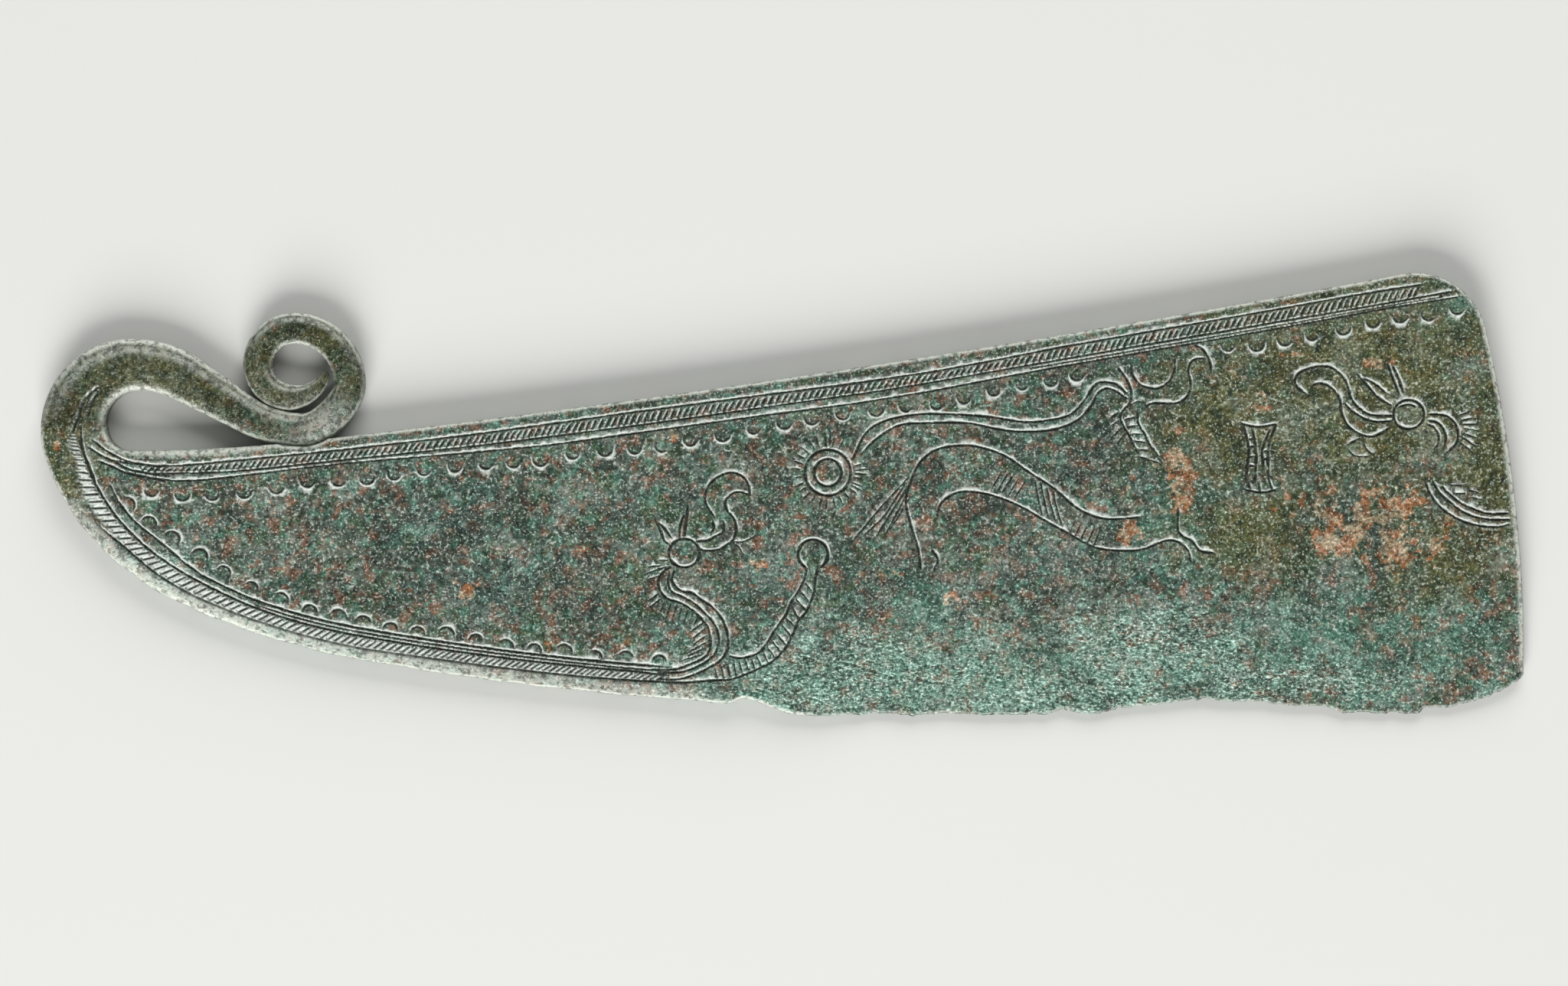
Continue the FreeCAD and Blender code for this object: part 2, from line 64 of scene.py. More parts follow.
ROOT_WIDTH = 5.24           # the bar where it leaves the blade
RIM_RADIUS = 0.5
TAPER = math.tan(math.radians(1.75))
TAPER_INSET = 3.0
EDGE_HEIGHT = 0.8           # middle of the cutting edge
EDGE_LAND = 0.36
BEVEL_WIDTH = 10.0
BEVEL_RUNOUT = 12.0
FOOT_WIDTH = 2.7
COIL_PRESS = 0.35
LOOP_SLOPE = 31.0
TIP_WIDTH = 2.15            # the bar in the coil's last turn
TURN_GAP = 0.2              # between the turns of the coil

GROOVE_STEP = 0.06          # spacing of the samples along a groove
BAR_SIDES = 60              # steps over the upper half of the bar's section
BAR_TUCK = 0.4              # how far a bar's start reaches into the piece before it
GRID_STEP = 0.34            # spacing of the blade's plain mesh
BELLY_STEP = 0.02           # spacing along the belly where its ribs are placed
LIP_RISE = 0.035            # how far a worn lip stands above the face
LIP_PLACE = 1.3             # where a lip is highest, in half widths of its groove
LIP_REACH = 0.6             # no groove marks the face further away than this

# Each step of a chain is (radius, turn in degrees) or (length, None).
BELLY = [(10.0, 25.5), (20.8, 38.8), (57.5, 15.5), (250.0, 7.0)]
NOTCH_STEP = (0.8, 0.36)
NOTCH = [(5.5, -22.0), (8.4, 26.0)]
WEAR = [(45.0, 9.0), (45.0, -18.0), (45.0, 9.0)]
HEEL = [(20.0, 30.0), (1.0, 60.0)]
HEEL_END, TOP_CORNER = 121.0, 5.85
BACK, LOOP_FLOOR, LOOP_CORNER = 1213.0, 131.0, 1.95

# Engraved strokes, as points read off the face: the x and y of each point in turn.
FIGURES = {
    "head": [
        (-10.3, -2.1, -9.9, -2.9, -9.6, -3.7, -9.2, -4),
        (-10.1, -2.2, -9.5, -2.8, -9.1, -3.4), (-8, -1.6, -8.3, -2.4, -8.4, -3.4),
        (-7.7, -0.8, -7.8, -2, -8, -3.3),
        (-6.9, -4.3, -6.2, -4.5, -5.2, -4.4, -4.5, -4, -4, -3.5, -3.8, -2.7, -4, -1.9, -4.5, -1.3,
         -4.7, -0.7, -4.5, -0.2, -3.9, 0.2, -3.3, 0.2, -2.8, 0),
        (-7, -3.7, -6.2, -3.7, -5.6, -3.4, -4.9, -3, -4.8, -2.4, -4.9, -2),
        (-5.6, -1.7, -6.2, -0.8, -6.3, -0.1, -6, 0.8, -5.2, 1.5, -4.2, 1.8, -3.3, 1.5, -2.8, 0.8,
         -2.7, 0),
        (-5.7, -2.1, -5.6, -2.7, -5.9, -3.1),
        (-9.1, -5.8, -9.8, -6.3, -10.1, -7, -9.9, -7.8, -9.3, -8.4, -8.4, -8.7, -7.5, -9.2, -6.7, -9.9,
         -6.1, -10.7, -5.9, -11.7, -6, -12.6, -6.5, -13.2, -7.6, -13.7, -8.8, -14.1, -10.7, -14.1),
        (-9.2, -6.3, -9.3, -7.1, -9, -7.8, -8.2, -8.2, -7.3, -8.7, -6.4, -9.5, -5.6, -10.4, -5.2, -11.5,
         -5.4, -12.6, -6, -13.3, -7, -13.9, -8.2, -14.3, -10.1, -14.4),
        (-8.8, -6.1, -9, -6.8, -8.7, -7.4, -8.1, -7.8, -7.4, -7.9, -6.7, -8.4, -5.7, -9.1, -4.9, -10.1,
         -4.5, -11.3, -4.5, -12.4, -5, -13.3, -5.9, -13.9, -7.1, -14.5, -8.5, -14.9, -10.1, -14.9),
    ],
    "whiskers": [
        (-4, -3.8, -3.4, -3.8, -2.8, -3.6, -2.3, -3.3),
        (-4, -3.9, -3.6, -4.2, -3.3, -4.7), (-10.1, -5.3, -9.3, -5.3),
        (-11.1, -6.4, -10.1, -6, -9.3, -5.8), (-10.9, -6.8, -9.9, -6.5, -9.6, -6.3),
        (-10.8, -5.8, -9.9, -5.7), (-10.1, -8, -10.8, -8.5), (-9.9, -8.4, -10.7, -9),
        (-9.6, -8.6, -9.9, -9.4), (-9.1, -8.8, -9.4, -9.7), (-8.6, -8.9, -8.9, -9.9),
        (-8.2, -9, -8.5, -10.2), (-7.7, -9.3, -8, -10.3), (-7.3, -9.5, -7.6, -10.5),
        (-6.9, -9.9, -7.2, -10.5), (-6.3, -10.2, -7.4, -11), (-6.2, -10.7, -7.3, -11.6),
        (-6.1, -11.3, -7.3, -12.1), (-6.2, -11.9, -7.5, -12.6), (-6.4, -12.4, -7.7, -13),
        (-6.6, -12.9, -8.2, -13.4),
    ],
    "stem": [
        (1.9, -5.9, 1.7, -6.8, 1.2, -7.8, 0.6, -8.7, 0.2, -9.7, -0.6, -10.8, -1.2, -11.8, -1.8, -12.6,
         -2.5, -13, -3.6, -13.2, -4.4, -13),
        (2.8, -5.9, 2.6, -6.8, 2.5, -7.8, 2.2, -8.7, 1.8, -9.5, 1.2, -10.2, 0.9, -11, 0.4, -12,
         -0.1, -12.7, -0.8, -13.4, -1.7, -13.9, -2.8, -14.4, -4.2, -14.9, -5.7, -15, -8.8, -15.2,
         -10.7, -15),
    ],
    "rungs": [
        (1.8, -7.1, 2.3, -7.8), (1.4, -7.8, 2.1, -8.6), (1, -8.4, 1.8, -9.3), (0.7, -9, 1.3, -10.1),
        (0.2, -9.9, 1, -10.7), (-0.1, -10.5, 0.7, -11.5), (-0.5, -11.3, 0.3, -12.2),
        (-0.9, -11.8, -0.1, -12.8), (-1.3, -12.3, -0.7, -13.1), (-1.7, -12.6, -1.2, -13.6),
        (-2.2, -12.9, -1.8, -13.8), (-2.6, -13.2, -2.3, -14.1), (-3.1, -13.3, -2.8, -14.2),
        (-3.6, -13.4, -3.3, -14.4), (-4, -13.6, -3.8, -14.6), (-4.5, -13.7, -4.3, -14.7),
        (-5, -13.9, -4.8, -14.8), (-5.5, -14.2, -5.3, -14.9),
    ],
    "cord": [
        (5.6, 2.9, 6.7, 5, 8.3, 6, 10.9, 6.5, 13.8, 6.5, 16.7, 6.3, 19.3, 5.9, 21.2, 6, 23.2, 6.5,
         24.5, 7.9, 25, 8.7, 25.6, 9.1, 26.7, 9, 27.2, 8.7, 27.7, 8.2),
        (6.4, 3.4, 7.5, 4.5, 9.3, 5.6, 11.5, 5.8, 14.8, 5.8, 17.4, 5.3, 19.6, 5.1, 21.9, 5.3, 23.7, 6,
         24.8, 7.1, 25.4, 8.2, 26.1, 8.6, 26.8, 8.4, 27.4, 8, 27.7, 7.8),
    ],
    "horse": [
        (11.1, -6, 10.9, -4.4, 10.3, -2.4, 9.9, -0.5, 10.3, 1.1, 11.1, 2.7, 12.5, 3.7, 14.5, 4, 16.1, 3.8,
         18, 3.1, 19.9, 1.8, 21.9, 0.5, 23.8, -1.1, 25.8, -1.9, 27.7, -1.9, 28.7, -1.8),
        (12.4, -1.8, 12.8, -0.6, 14.1, 0.2, 15.7, 0.2, 17.4, -0.2, 19.3, -1, 21.2, -2.1, 23.2, -3.2,
         25.1, -4.2, 27.1, -4.5, 29, -4.4, 30.9, -3.7, 31.9, -3.8, 32.7, -4.5, 32.9, -5.3),
        (12, -4.4, 12.5, -5.2, 12.2, -6),
        (31.9, -1.1, 31.9, -2.8, 32.4, -3.4, 33, -3.7, 33.7, -4.5, 34.8, -4.7),
    ],
    "tail": [
        (10.1, 1.4, 7.8, -1.1, 5.7, -3.6), (9.9, 1, 8.2, -1.6, 6.7, -3.1),
        (10, 0.6, 8.6, -1.6, 7.5, -3.4), (10.1, 0.3, 9, -1.8, 8.3, -3.1),
        (10.2, -0.2, 9.2, -1.9, 8.6, -2.8), (16.9, 0.6, 17.6, 1.8), (17.3, 0.3, 18.1, 1.7),
        (17.7, 0.2, 18.5, 1.5), (18.2, 0, 19, 1.3), (18.7, -0.2, 19.5, 1),
        (20.3, 1.3, 20.6, -0.3, 20.9, -1.6), (20.8, 1, 21.1, -0.5, 21.4, -1.8),
        (21.3, 0.6, 21.6, -0.8, 22, -2.1), (21.8, 0.3, 22.1, -1.1, 22.5, -2.4), (23, -3.3, 23.5, -2.3),
        (23.5, -3.6, 24, -2.4), (24, -3.7, 24.5, -2.6), (24.6, -3.9, 25.1, -2.7),
        (25.1, -4.1, 25.6, -2.8),
    ],
    "dancer": [
        (28.1, 10.4, 28.2, 9.7, 28.7, 9, 29.3, 8.7, 30.2, 8.6, 30.8, 8.9, 31.3, 9.4, 31.6, 10.2,
         31.6, 11),
        (27, 10.3, 27.6, 9.5, 28, 8.7, 28.1, 7.9, 27.9, 7.3, 27.5, 6.9, 27.2, 6.3, 27.5, 5.5, 28, 4.7,
         28.3, 4, 28.7, 3.4),
        (29.3, 7.2, 29.8, 7.4, 30.7, 7.4, 31.6, 7.4, 32.2, 7.6, 32.7, 8.1, 32.9, 9, 32.7, 10, 32.9, 10.7,
         33.4, 11, 34.1, 11),
        (33.2, 12.1, 33.8, 11.8, 34.3, 11.1, 34.5, 10.4, 34.5, 9.9),
        (28.7, 6.9, 28.6, 6.1, 28.8, 5.5, 29.2, 4.9, 29.5, 4.2, 29.9, 3.7, 30.3, 3.1),
    ],
    "dancer_hatch": [
        (28.1, 4.4, 29.5, 4.2), (28.3, 3.7, 29.5, 3.6), (28.7, 3.1, 30.3, 2.6), (27.9, 7.2, 28.7, 7.6),
        (27.6, 6.1, 28.5, 6.3), (27.8, 5.5, 28.7, 5.6), (28, 4.9, 29.1, 4.9), (27.1, 6.7, 26.5, 6.3),
        (27.2, 6.1, 26.5, 5.6), (27.4, 5.5, 26.7, 4.8), (27.6, 5, 27, 4.2),
    ],
    "hourglass": [
        (36.9, 5.8, 38.2, 5.5, 39.8, 5.7), (37.2, 5.5, 37.6, 3.7, 37.4, 1.5),
        (37.9, 5.3, 38.2, 3.4, 38.1, 1.1), (39.8, 5.7, 39.2, 4, 39.2, 1.5),
        (39.3, 5.3, 38.7, 3.7, 38.8, 2.3), (37.4, 0.4, 38.6, 0.2, 39.8, 0.4), (37.6, 4.5, 38.1, 4.5),
        (37.7, 3.9, 38.2, 3.9), (37.6, 3.1, 38.2, 3.1), (37.6, 2.4, 38.1, 2.3), (38.8, 2.9, 39.3, 2.9),
        (38.8, 3.5, 39.2, 3.6), (37.6, 1, 37.7, 0.3), (38.4, 1.1, 38.5, 0.3), (39.2, 1.3, 39.5, 0.4),
    ],
    "bird": [
        (42.3, 8.1, 41.6, 8.6, 41.3, 9.2, 41.6, 9.8, 42.4, 10.2, 43.5, 10.4, 44.4, 10.2, 45.2, 9.5,
         45.6, 8.7, 45.8, 7.9, 46.3, 7.2, 47.1, 6.6, 48, 6.4, 49.2, 6.4),
        (42.8, 8.9, 43.5, 9, 44.3, 8.6, 44.9, 7.8, 45.1, 6.6, 45.6, 5.6, 46.4, 5, 47.4, 4.7, 48.3, 5,
         48.9, 5.4),
        (45.3, 7.4, 45.9, 6.8, 46.5, 6.4, 47.1, 6.1, 48, 5.9, 49.2, 6),
        (46.4, 9.7, 47.1, 8.9, 48, 7.9, 49.1, 7.2),
        (46.9, 9.4, 47.7, 9, 48.7, 8.2),
        (48.8, 10.6, 49.1, 9.7, 49.5, 8.7, 49.7, 8.2),
        (49.2, 10.4, 49.7, 9.4, 50, 8.4), (49.7, 7.1, 50.5, 7.3, 51.1, 7.1),
        (52.1, 6.5, 52.9, 6.5, 53.7, 6.3, 54.3, 5.7, 54.5, 4.8, 54.3, 4.1, 53.7, 3.5),
        (52.1, 6, 52.7, 5.9, 53.2, 5.5, 53.5, 4.7, 53.4, 3.9),
        (52, 5.7, 52.5, 5.5, 52.9, 4.9, 52.9, 4.2, 52.7, 3.8),
    ],
    "bird_rays": [
        (54.5, 6.4, 55.3, 6.7), (54.7, 6, 55.6, 6.2), (54.8, 5.7, 56, 5.7), (54.9, 5.4, 56, 5.2),
        (54.9, 5, 56, 4.6), (54.8, 4.7, 55.8, 4), (54.7, 4.2, 55.5, 3.6), (45.5, 4, 46, 4.3, 46.6, 4.6),
        (45.6, 3.7, 46.1, 3.2, 46.8, 3.1, 47.3, 3.1),
        (46.9, 4.2, 47.1, 3.7, 47.7, 3.2), (53.9, 0.8, 54.9, 0.8), (54.2, 0.1, 55.1, 0.1),
        (55.3, 0.4, 56.1, 0.2), (55.6, -0.2, 56.5, -0.4),
    ],
    "arcs": [
        (51.9, 1, 52.2, 0.2, 52.9, -0.8, 53.9, -1.6, 55.1, -2.2, 56.3, -2.5, 57.6, -2.6, 58.7, -2.4),
        (52.5, 1, 53.1, 0.1, 53.9, -0.6, 54.8, -1.3, 56, -1.8, 57.3, -2, 58.7, -2),
        (53.2, 0.7, 53.9, 0, 54.8, -0.7, 55.7, -1.1, 56.9, -1.5, 58.6, -1.5),
    ],
    "loop": [
        (-57.4, 5, -56.9, 6.3, -56.4, 7.6, -55.9, 8.2, -55.3, 8.7),
        (-56.2, 6.2, -56, 6.8, -55.8, 7.4, -55.3, 8.4),
        (-56.8, 4.4, -56.4, 3.2, -56, 2.3, -55.7, 1.5, -55.5, 0.8),
    ],
    "eye": [
        (-55.6, 4.3, -54.7, 3.6, -53.4, 2.9, -52.5, 2.6, -51.2, 2.4, -50.2, 2.3),
        (-56, 3.8, -55.1, 3.2, -54, 2.7, -52.9, 2.1, -51.6, 1.8, -50.3, 1.6, -49.5, 1.5),
        (-55.2, 2.7, -54.2, 2.3, -53.4, 1.9, -52.5, 1.6, -51.2, 1.4, -49.9, 1.1),
    ],
}
FINE_FIGURES = ("whiskers", "rungs", "tail", "dancer_hatch", "bird_rays")
# How strongly a bold stroke's lip stands up and is painted as a highlight
BOLD_LIP = 2.3
SUN = np.array([3.6, 1.8])
RAY_START = 2.15
# Each ring is its centre, radius, half width, depth, first angle, turn and flattening.
RINGS = [((-8.0, -4.7), 1.24, 0.15, 0.17, 200, 360, 0.93), ((2.4, -4.8), 1.2, 0.15, 0.17, -55, 295, 1.0),
         ((50.5, 6.5), 1.24, 0.14, 0.15, 150, 360, 0.95), (SUN, 1.1, 0.14, 0.15, 0, 360, 1.0),
         (SUN, 1.85, 0.16, 0.17, 0, 360, 1.0)]
UPPER_CRESCENTS = [
    (-51, 0.3), (-48.5, 0), (-46.1, 0), (-43.5, 0.2), (-40.9, 0.6), (-38.4, 1.1), (-35.9, 1.2),
    (-33.6, 1.3), (-31.4, 1.6), (-29, 2), (-26.5, 2.3), (-24, 2.5), (-21.8, 2.6), (-19.6, 2.8),
    (-17, 3.3), (-14.4, 3.6), (-12, 3.7), (-9.8, 3.9), (-7.5, 4.4), (-4.9, 4.8), (-2.4, 5.3),
    (0.1, 5.8), (2.3, 6.1), (4.8, 6.5), (7.5, 6.8), (9.9, 7.1), (12.4, 7.3), (14.6, 7.8), (17, 8.4),
    (19.3, 8.9), (21.6, 9.2), (23.7, 9.7), (35.9, 12), (38.2, 12.1), (40.5, 12.5), (42.7, 12.9),
    (45.2, 13.4), (47.6, 13.9), (49.8, 14.4), (52.1, 14.5), (54.4, 15),
]
LOWER_CRESCENTS = [
    (-52.7, -0.6), (-51, -2.1), (-49.2, -3.3), (-47, -4.7), (-45.1, -6), (-42.9, -7.3), (-40.5, -8.2),
    (-38.2, -9.2), (-35.9, -9.6), (-33.9, -10.1), (-31.7, -10.6), (-29.5, -10.9), (-27.2, -11),
    (-24.8, -11.5), (-22.4, -12), (-20.1, -12.3), (-17.7, -12.4), (-15.2, -12.8), (-12.7, -12.9),
    (-10, -13.2),
]


def unit(angle):
    return np.array([math.cos(math.radians(angle)), math.sin(math.radians(angle))])


def walk(start, heading, steps, spacing=0.2):
    """Points along a chain, and the index at which each step ends."""
    point = np.array(start, float)
    points, ends = [point], []
    for amount, turn in steps:
        if turn is None:
            count = max(1, math.ceil(amount / spacing))
            for i in range(1, count + 1):
                points.append(point + unit(heading) * amount * i / count)
        else:
            side = 1 if turn > 0 else -1
            centre = point + unit(heading + 90) * amount * side
            count = max(2, math.ceil(amount * abs(math.radians(turn)) / spacing))
            for i in range(1, count + 1):
                now = heading + turn * i / count
                points.append(centre + unit(now - 90) * amount * side)
            heading += turn
        point = points[-1]
        ends.append(len(points) - 1)
    return np.array(points), ends


def angle_of(vector):
    return math.degrees(math.atan2(vector[1], vector[0]))


def blade_outline():
    """The blade's outline, anticlockwise from the left of the handle's root, by stretch."""
    step = np.array(NOTCH_STEP)
    belly, _ = walk((0, 0), -90, BELLY)
    notch, _ = walk(belly[-1], angle_of(step), [(np.hypot(*step), None)])
    sweep, _ = walk(notch[-1], -4, NOTCH)
    root = np.array([-HALF_LENGTH, -HALF_WIDTH - sweep[-1][1]])
    start = belly[-1] + root
    belly = np.vstack([belly, notch[1:], sweep[1:]]) + root

    heel, _ = walk((0, 0), 0, HEEL)
    heel += np.array([HALF_LENGTH - heel[-1][0], -HALF_WIDTH])
    reach = 4 * WEAR[0][0] * math.sin(math.radians(WEAR[0][1]))
    level = heel[0][0] - reach - belly[-1][0]
    edge, _ = walk(belly[-1], 0, [(level, None)] + WEAR)

    end_centre = np.array([HALF_LENGTH - HEEL_END, heel[-1][1]])
    rise = HALF_WIDTH - TOP_CORNER - end_centre[1]
    run = math.sqrt((HEEL_END - TOP_CORNER) ** 2 - rise ** 2)
    corner = end_centre + np.array([run, rise])
    end_turn = angle_of((run, rise))
    floor_centre = root + np.array([ROOT_WIDTH + LOOP_CORNER, LOOP_FLOOR - LOOP_CORNER])
    apart = corner - floor_centre
    distance = np.hypot(*apart)
    first, second = BACK - LOOP_FLOOR, BACK + TOP_CORNER
    along = (distance ** 2 + first ** 2 - second ** 2) / (2 * distance)
    across = math.sqrt(first ** 2 - along ** 2)
    normal = np.array([-apart[1], apart[0]]) / distance
    back_centre = floor_centre + apart / distance * along + normal * across
    corner_slope = angle_of(corner - back_centre) + 90
    floor_slope = angle_of(floor_centre - back_centre) + 90
    top, ends = walk(heel[-1], 90, [(HEEL_END, end_turn), (TOP_CORNER, 90 + corner_slope - end_turn),
                                    (BACK, floor_slope - corner_slope),
                                    (LOOP_FLOOR, -floor_slope), (LOOP_CORNER, -90)])
    heel_end = top[1:ends[0] + 1]
    back = top[ends[0] + 1:]
    return {"belly": belly, "edge": edge[1:], "heel": heel[1:], "heel_end": heel_end,
            "back": back, "notch": start, "root": root,
            "back_centre": back_centre, "floor_centre": floor_centre,
            "floor_end": top[ends[2]], "top_corner": top[ends[0]]}


OUTLINE = blade_outline()
ROOT = OUTLINE["root"]


def back_level(x):
    """Height of the back's outline over each x."""
    x = np.asarray(x, float)
    centre, floor = OUTLINE["back_centre"], OUTLINE["floor_centre"]
    on_back = centre[1] - np.sqrt(BACK ** 2 - (x - centre[0]) ** 2)
    near = np.clip(x, floor[0] - 5, OUTLINE["floor_end"][0])
    on_floor = floor[1] - np.sqrt(LOOP_FLOOR ** 2 - (near - floor[0]) ** 2)
    return np.where(x < OUTLINE["floor_end"][0], on_floor, on_back)


BACK_SLOPE = angle_of(OUTLINE["top_corner"] - OUTLINE["floor_end"])


def wobble(x, y, size, seed, waves=7):
    """Smooth seeded unevenness between about -1 and 1, in features of the given size."""
    draw = np.random.default_rng(seed)
    total = np.zeros(np.shape(x))
    for _ in range(waves):
        angle, phase = draw.uniform(0, 2 * math.pi, 2)
        pace = 2 * math.pi / (size * draw.uniform(0.7, 1.8))
        total += np.sin((x * math.cos(angle) + y * math.sin(angle)) * pace + phase)
    return total / math.sqrt(waves) / 1.4


def smooth_line(points):
    """A smooth curve through the points, in a groove's even steps."""
    points = np.array(points, float)
    if len(points) > 2:
        padded = np.vstack([2 * points[0] - points[1], points, 2 * points[-1] - points[-2]])
        share = np.linspace(0, 1, 9)[:-1, None]
        curve = []
        for a, b, c, d in zip(padded, padded[1:], padded[2:], padded[3:]):
            curve.append(0.5 * (2 * b + (c - a) * share + (2 * a - 5 * b + 4 * c - d) * share ** 2
                                + (3 * b - a - 3 * c + d) * share ** 3))
        points = np.vstack(curve + [points[-1:]])
    return even_line(points, GROOVE_STEP)


def even_line(points, spacing):
    travel = np.r_[0, np.cumsum(np.hypot(*np.diff(points, axis=0).T))]
    count = max(2, math.ceil(travel[-1] / spacing) + 1)
    where = np.linspace(0, travel[-1], count)
    return np.stack([np.interp(where, travel, points[:, 0]),
                     np.interp(where, travel, points[:, 1])], axis=1)


def left_normals(points):
    way = np.gradient(points, axis=0)
    way /= np.maximum(np.hypot(way[:, 0], way[:, 1]), 1e-9)[:, None]
    return np.stack([-way[:, 1], way[:, 0]], axis=1)


# The engraving

class Engraving:
    """All grooves, as even samples along their middle lines."""

    def __init__(self):
        self.rows = []
        self.lines = []

    def cut(self, points, half=0.13, depth=0.11, lip=(0.2, 0.98), lip_height=1.0, bowed=False,
            fade=0.25, spread=0.36, both=0.03):
        """One groove. Lip is the side on which its raised edge stands and is painted as a highlight,
        fade the length of its shallow ends, spread the lip's width, and both the share on the other side."""
        line = even_line(points, GROOVE_STEP) if bowed else smooth_line(points)
        count = len(line)
        travel = np.arange(count) * GROOVE_STEP
        near_end = np.minimum(travel, travel[::-1])
        taper = np.clip(0.35 + near_end / fade, 0, 1)
        unsteady = 1 + 0.18 * wobble(line[:, 0], line[:, 1], 1.1, 5)
        lips = lip(line) if callable(lip) else np.tile(lip, (count, 1))
        self.rows.append(np.column_stack([line, half * taper ** 0.5 * unsteady,
                                          depth * taper * unsteady, lips,
                                          lip_height * taper * (0.55 + 0.45 * unsteady),
                                          np.full(count, spread), np.full(count, both)]))
        self.lines.append((line, half))

    def ring(self, centre, radius, half=0.15, depth=0.14, start=0, turn=360, flat=1.0, **kinds):
        angles = np.radians(np.linspace(start, start + turn, max(12, int(abs(turn) / 6))))
        points = np.array(centre) + np.stack([np.cos(angles), flat * np.sin(angles)], 1) * radius
        self.cut(points, half, depth, bowed=True, **kinds)

    def finish(self):
        self.samples = np.vstack(self.rows)
        self.tree = kdtree.KDTree(len(self.samples))
        for index, row in enumerate(self.samples):
            self.tree.insert((row[0], row[1], 0), index)
        self.tree.balance()

    def relief(self, points):
        """For each point: how far the surface drops, how deep in a groove, how bright a lip's painted
        highlight is.
        """
        drop = np.zeros(len(points))
        groove = np.zeros(len(points))
        bright = np.zeros(len(points))
        for number, (x, y) in enumerate(points):
            _, index, distance = self.tree.find((x, y, 0))
            if distance > LIP_REACH:
                continue
            middle_x, middle_y, half, depth, lip_x, lip_y, lip_height, spread, both = self.samples[index]
            share = distance / half
            if share < 1:
                drop[number] = depth * (1 - share * share) ** 1.5
                groove[number] = min(1.0, 1.15 * (1 - share ** 3))
            # The lip is painted bright on the side it faces: a painted highlight on its raised edge
            facing = ((x - middle_x) * lip_x + (y - middle_y) * lip_y) / max(distance, 1e-6)
            rise = math.exp(-((share - LIP_PLACE) / spread) ** 2)
            rise *= both + (1 - both) * max(0.0, facing)
            bright[number] = min(1.0, rise * lip_height)
            drop[number] -= LIP_RISE * bright[number]
        return drop, groove, bright


def offset_at(offsets, x):
    return np.interp(x, *zip(*offsets))


def band_line(offsets):
    """A line at given depths below the back, as (x, depth) pairs."""
    x = np.arange(offsets[0][0], offsets[-1][0], 0.5)
    return np.stack([x, back_level(x) - offset_at(offsets, x)], axis=1)


def belly_line(offsets):
    """A line inside the belly, as (x, inset) pairs measured square to the outline."""
    belly = even_line(OUTLINE["belly"], 0.5)
    normals = left_normals(belly)
    inside = (belly[:, 0] >= offsets[0][0]) & (belly[:, 0] <= offsets[-1][0])
    return (belly + normals * offset_at(offsets, belly[:, 0])[:, None])[inside]


def away_from(centre):
    def lips(line):
        out = line - np.array(centre)
        return out / np.maximum(np.hypot(out[:, 0], out[:, 1]), 1e-6)[:, None]
    return lips


BACK_BAND = {
    "upper": [(-54.5, 0.7), (-53, 1.0), (-51, 1.2), (-49, 1.28), (-45, 1.1), (-41, 1.0), (-35, 1.05),
              (-25, 1.1), (-12, 1.0), (-2, 1.1), (6, 1.25), (12, 1.3), (18, 1.15), (22, 1.0),
              (30, 0.95), (46, 1.0), (50, 1.1), (51.9, 1.2)],
    "inner": [(-52.5, 1.55), (-51, 1.85), (-45, 1.95), (-39, 1.85), (-35, 1.88), (-25, 2.05),
              (-10, 2.12), (0, 2.12), (8, 2.2), (14, 2.12), (20, 2.02), (30, 1.95), (40, 2.0),
              (50, 2.15), (54.2, 2.2)],
    "outer": [(-53, 1.75), (-51, 2.2), (-49, 2.5), (-47, 2.5), (-43, 2.3), (-39, 2.15),
              (-35, 2.17), (-29, 2.4), (-25, 2.55), (-19, 2.75), (-10, 2.72), (-2, 2.75),
              (6, 2.9), (12, 2.85), (18, 2.65), (22, 2.57), (30, 2.52), (48, 2.55), (51, 2.62),
              (54.8, 2.75)],
    "third": [(20, 2.28), (30, 2.25), (40, 2.27), (50, 2.38), (53.4, 2.48)],
}
# Each rib runs between two insets from the belly, given as (x, outer inset, inner inset).
RIB_ENDS = [(-60, 2.37, 2.9), (-59.2, 2.34, 3.0), (-58.5, 2.0, 2.88), (-57.8, 1.7, 2.74),
            (-56.5, 1.66, 2.55), (-55, 1.62, 2.42), (-53, 1.55, 2.36), (-51, 1.42, 2.3),
            (-48, 1.25, 2.12), (-44, 1.2, 1.88), (-34, 1.16, 1.82), (-28, 1.3, 1.84),
            (-12, 1.5, 1.92), (-8, 1.62, 1.85)]
BELLY_BAND = {
    "margin": [(-56.6, 1.1), (-54.5, 1.45), (-53, 1.42), (-51, 1.25), (-48, 1.08), (-40, 1.05),
               (-34, 1.0), (-28, 1.15), (-16, 1.25), (-10, 1.4), (-6.5, 1.6)],
    "inner": [(-60.1, 3.35), (-59.8, 3.25), (-59.2, 3.17), (-58.5, 3.02), (-57.5, 2.88),
              (-56, 2.72), (-54, 2.62), (-51, 2.5), (-48, 2.3),
              (-44, 2.05), (-40, 1.98), (-28, 2.0), (-12, 2.08), (-9, 1.95)],
    "middle": [(-43.5, 2.28), (-40, 2.28), (-20, 2.33), (-9, 2.3)],
    "far": [(-57.6, 3.9), (-56.5, 3.62), (-55, 3.5), (-53, 3.6), (-51.5, 3.5), (-50, 3.2),
            (-48, 2.85), (-44, 2.62), (-40, 2.6), (-20, 2.62), (-9, 2.65)],
}


def hatch_back_band(work, draw):
    """Short slanted cuts between the back band's two upper lines."""
    x = -51.6
    while x < 51.5:
        upper = offset_at(BACK_BAND["upper"], x)
        reach = offset_at(BACK_BAND["inner"], x) - upper
        top = upper + 0.2
        low = top + reach - 0.36
        lean = 0.34 + draw.uniform(-0.05, 0.05)
        ends = np.array([[x - lean / 2, back_level(x) - low], [x + lean / 2, back_level(x) - top]])
        # Each cut carries a painted highlight on one side of its lip
        work.cut(ends, 0.12, 0.1, lip=(-0.9, 0.4), lip_height=1.3, fade=0.1)
        x += draw.uniform(0.46, 0.58)


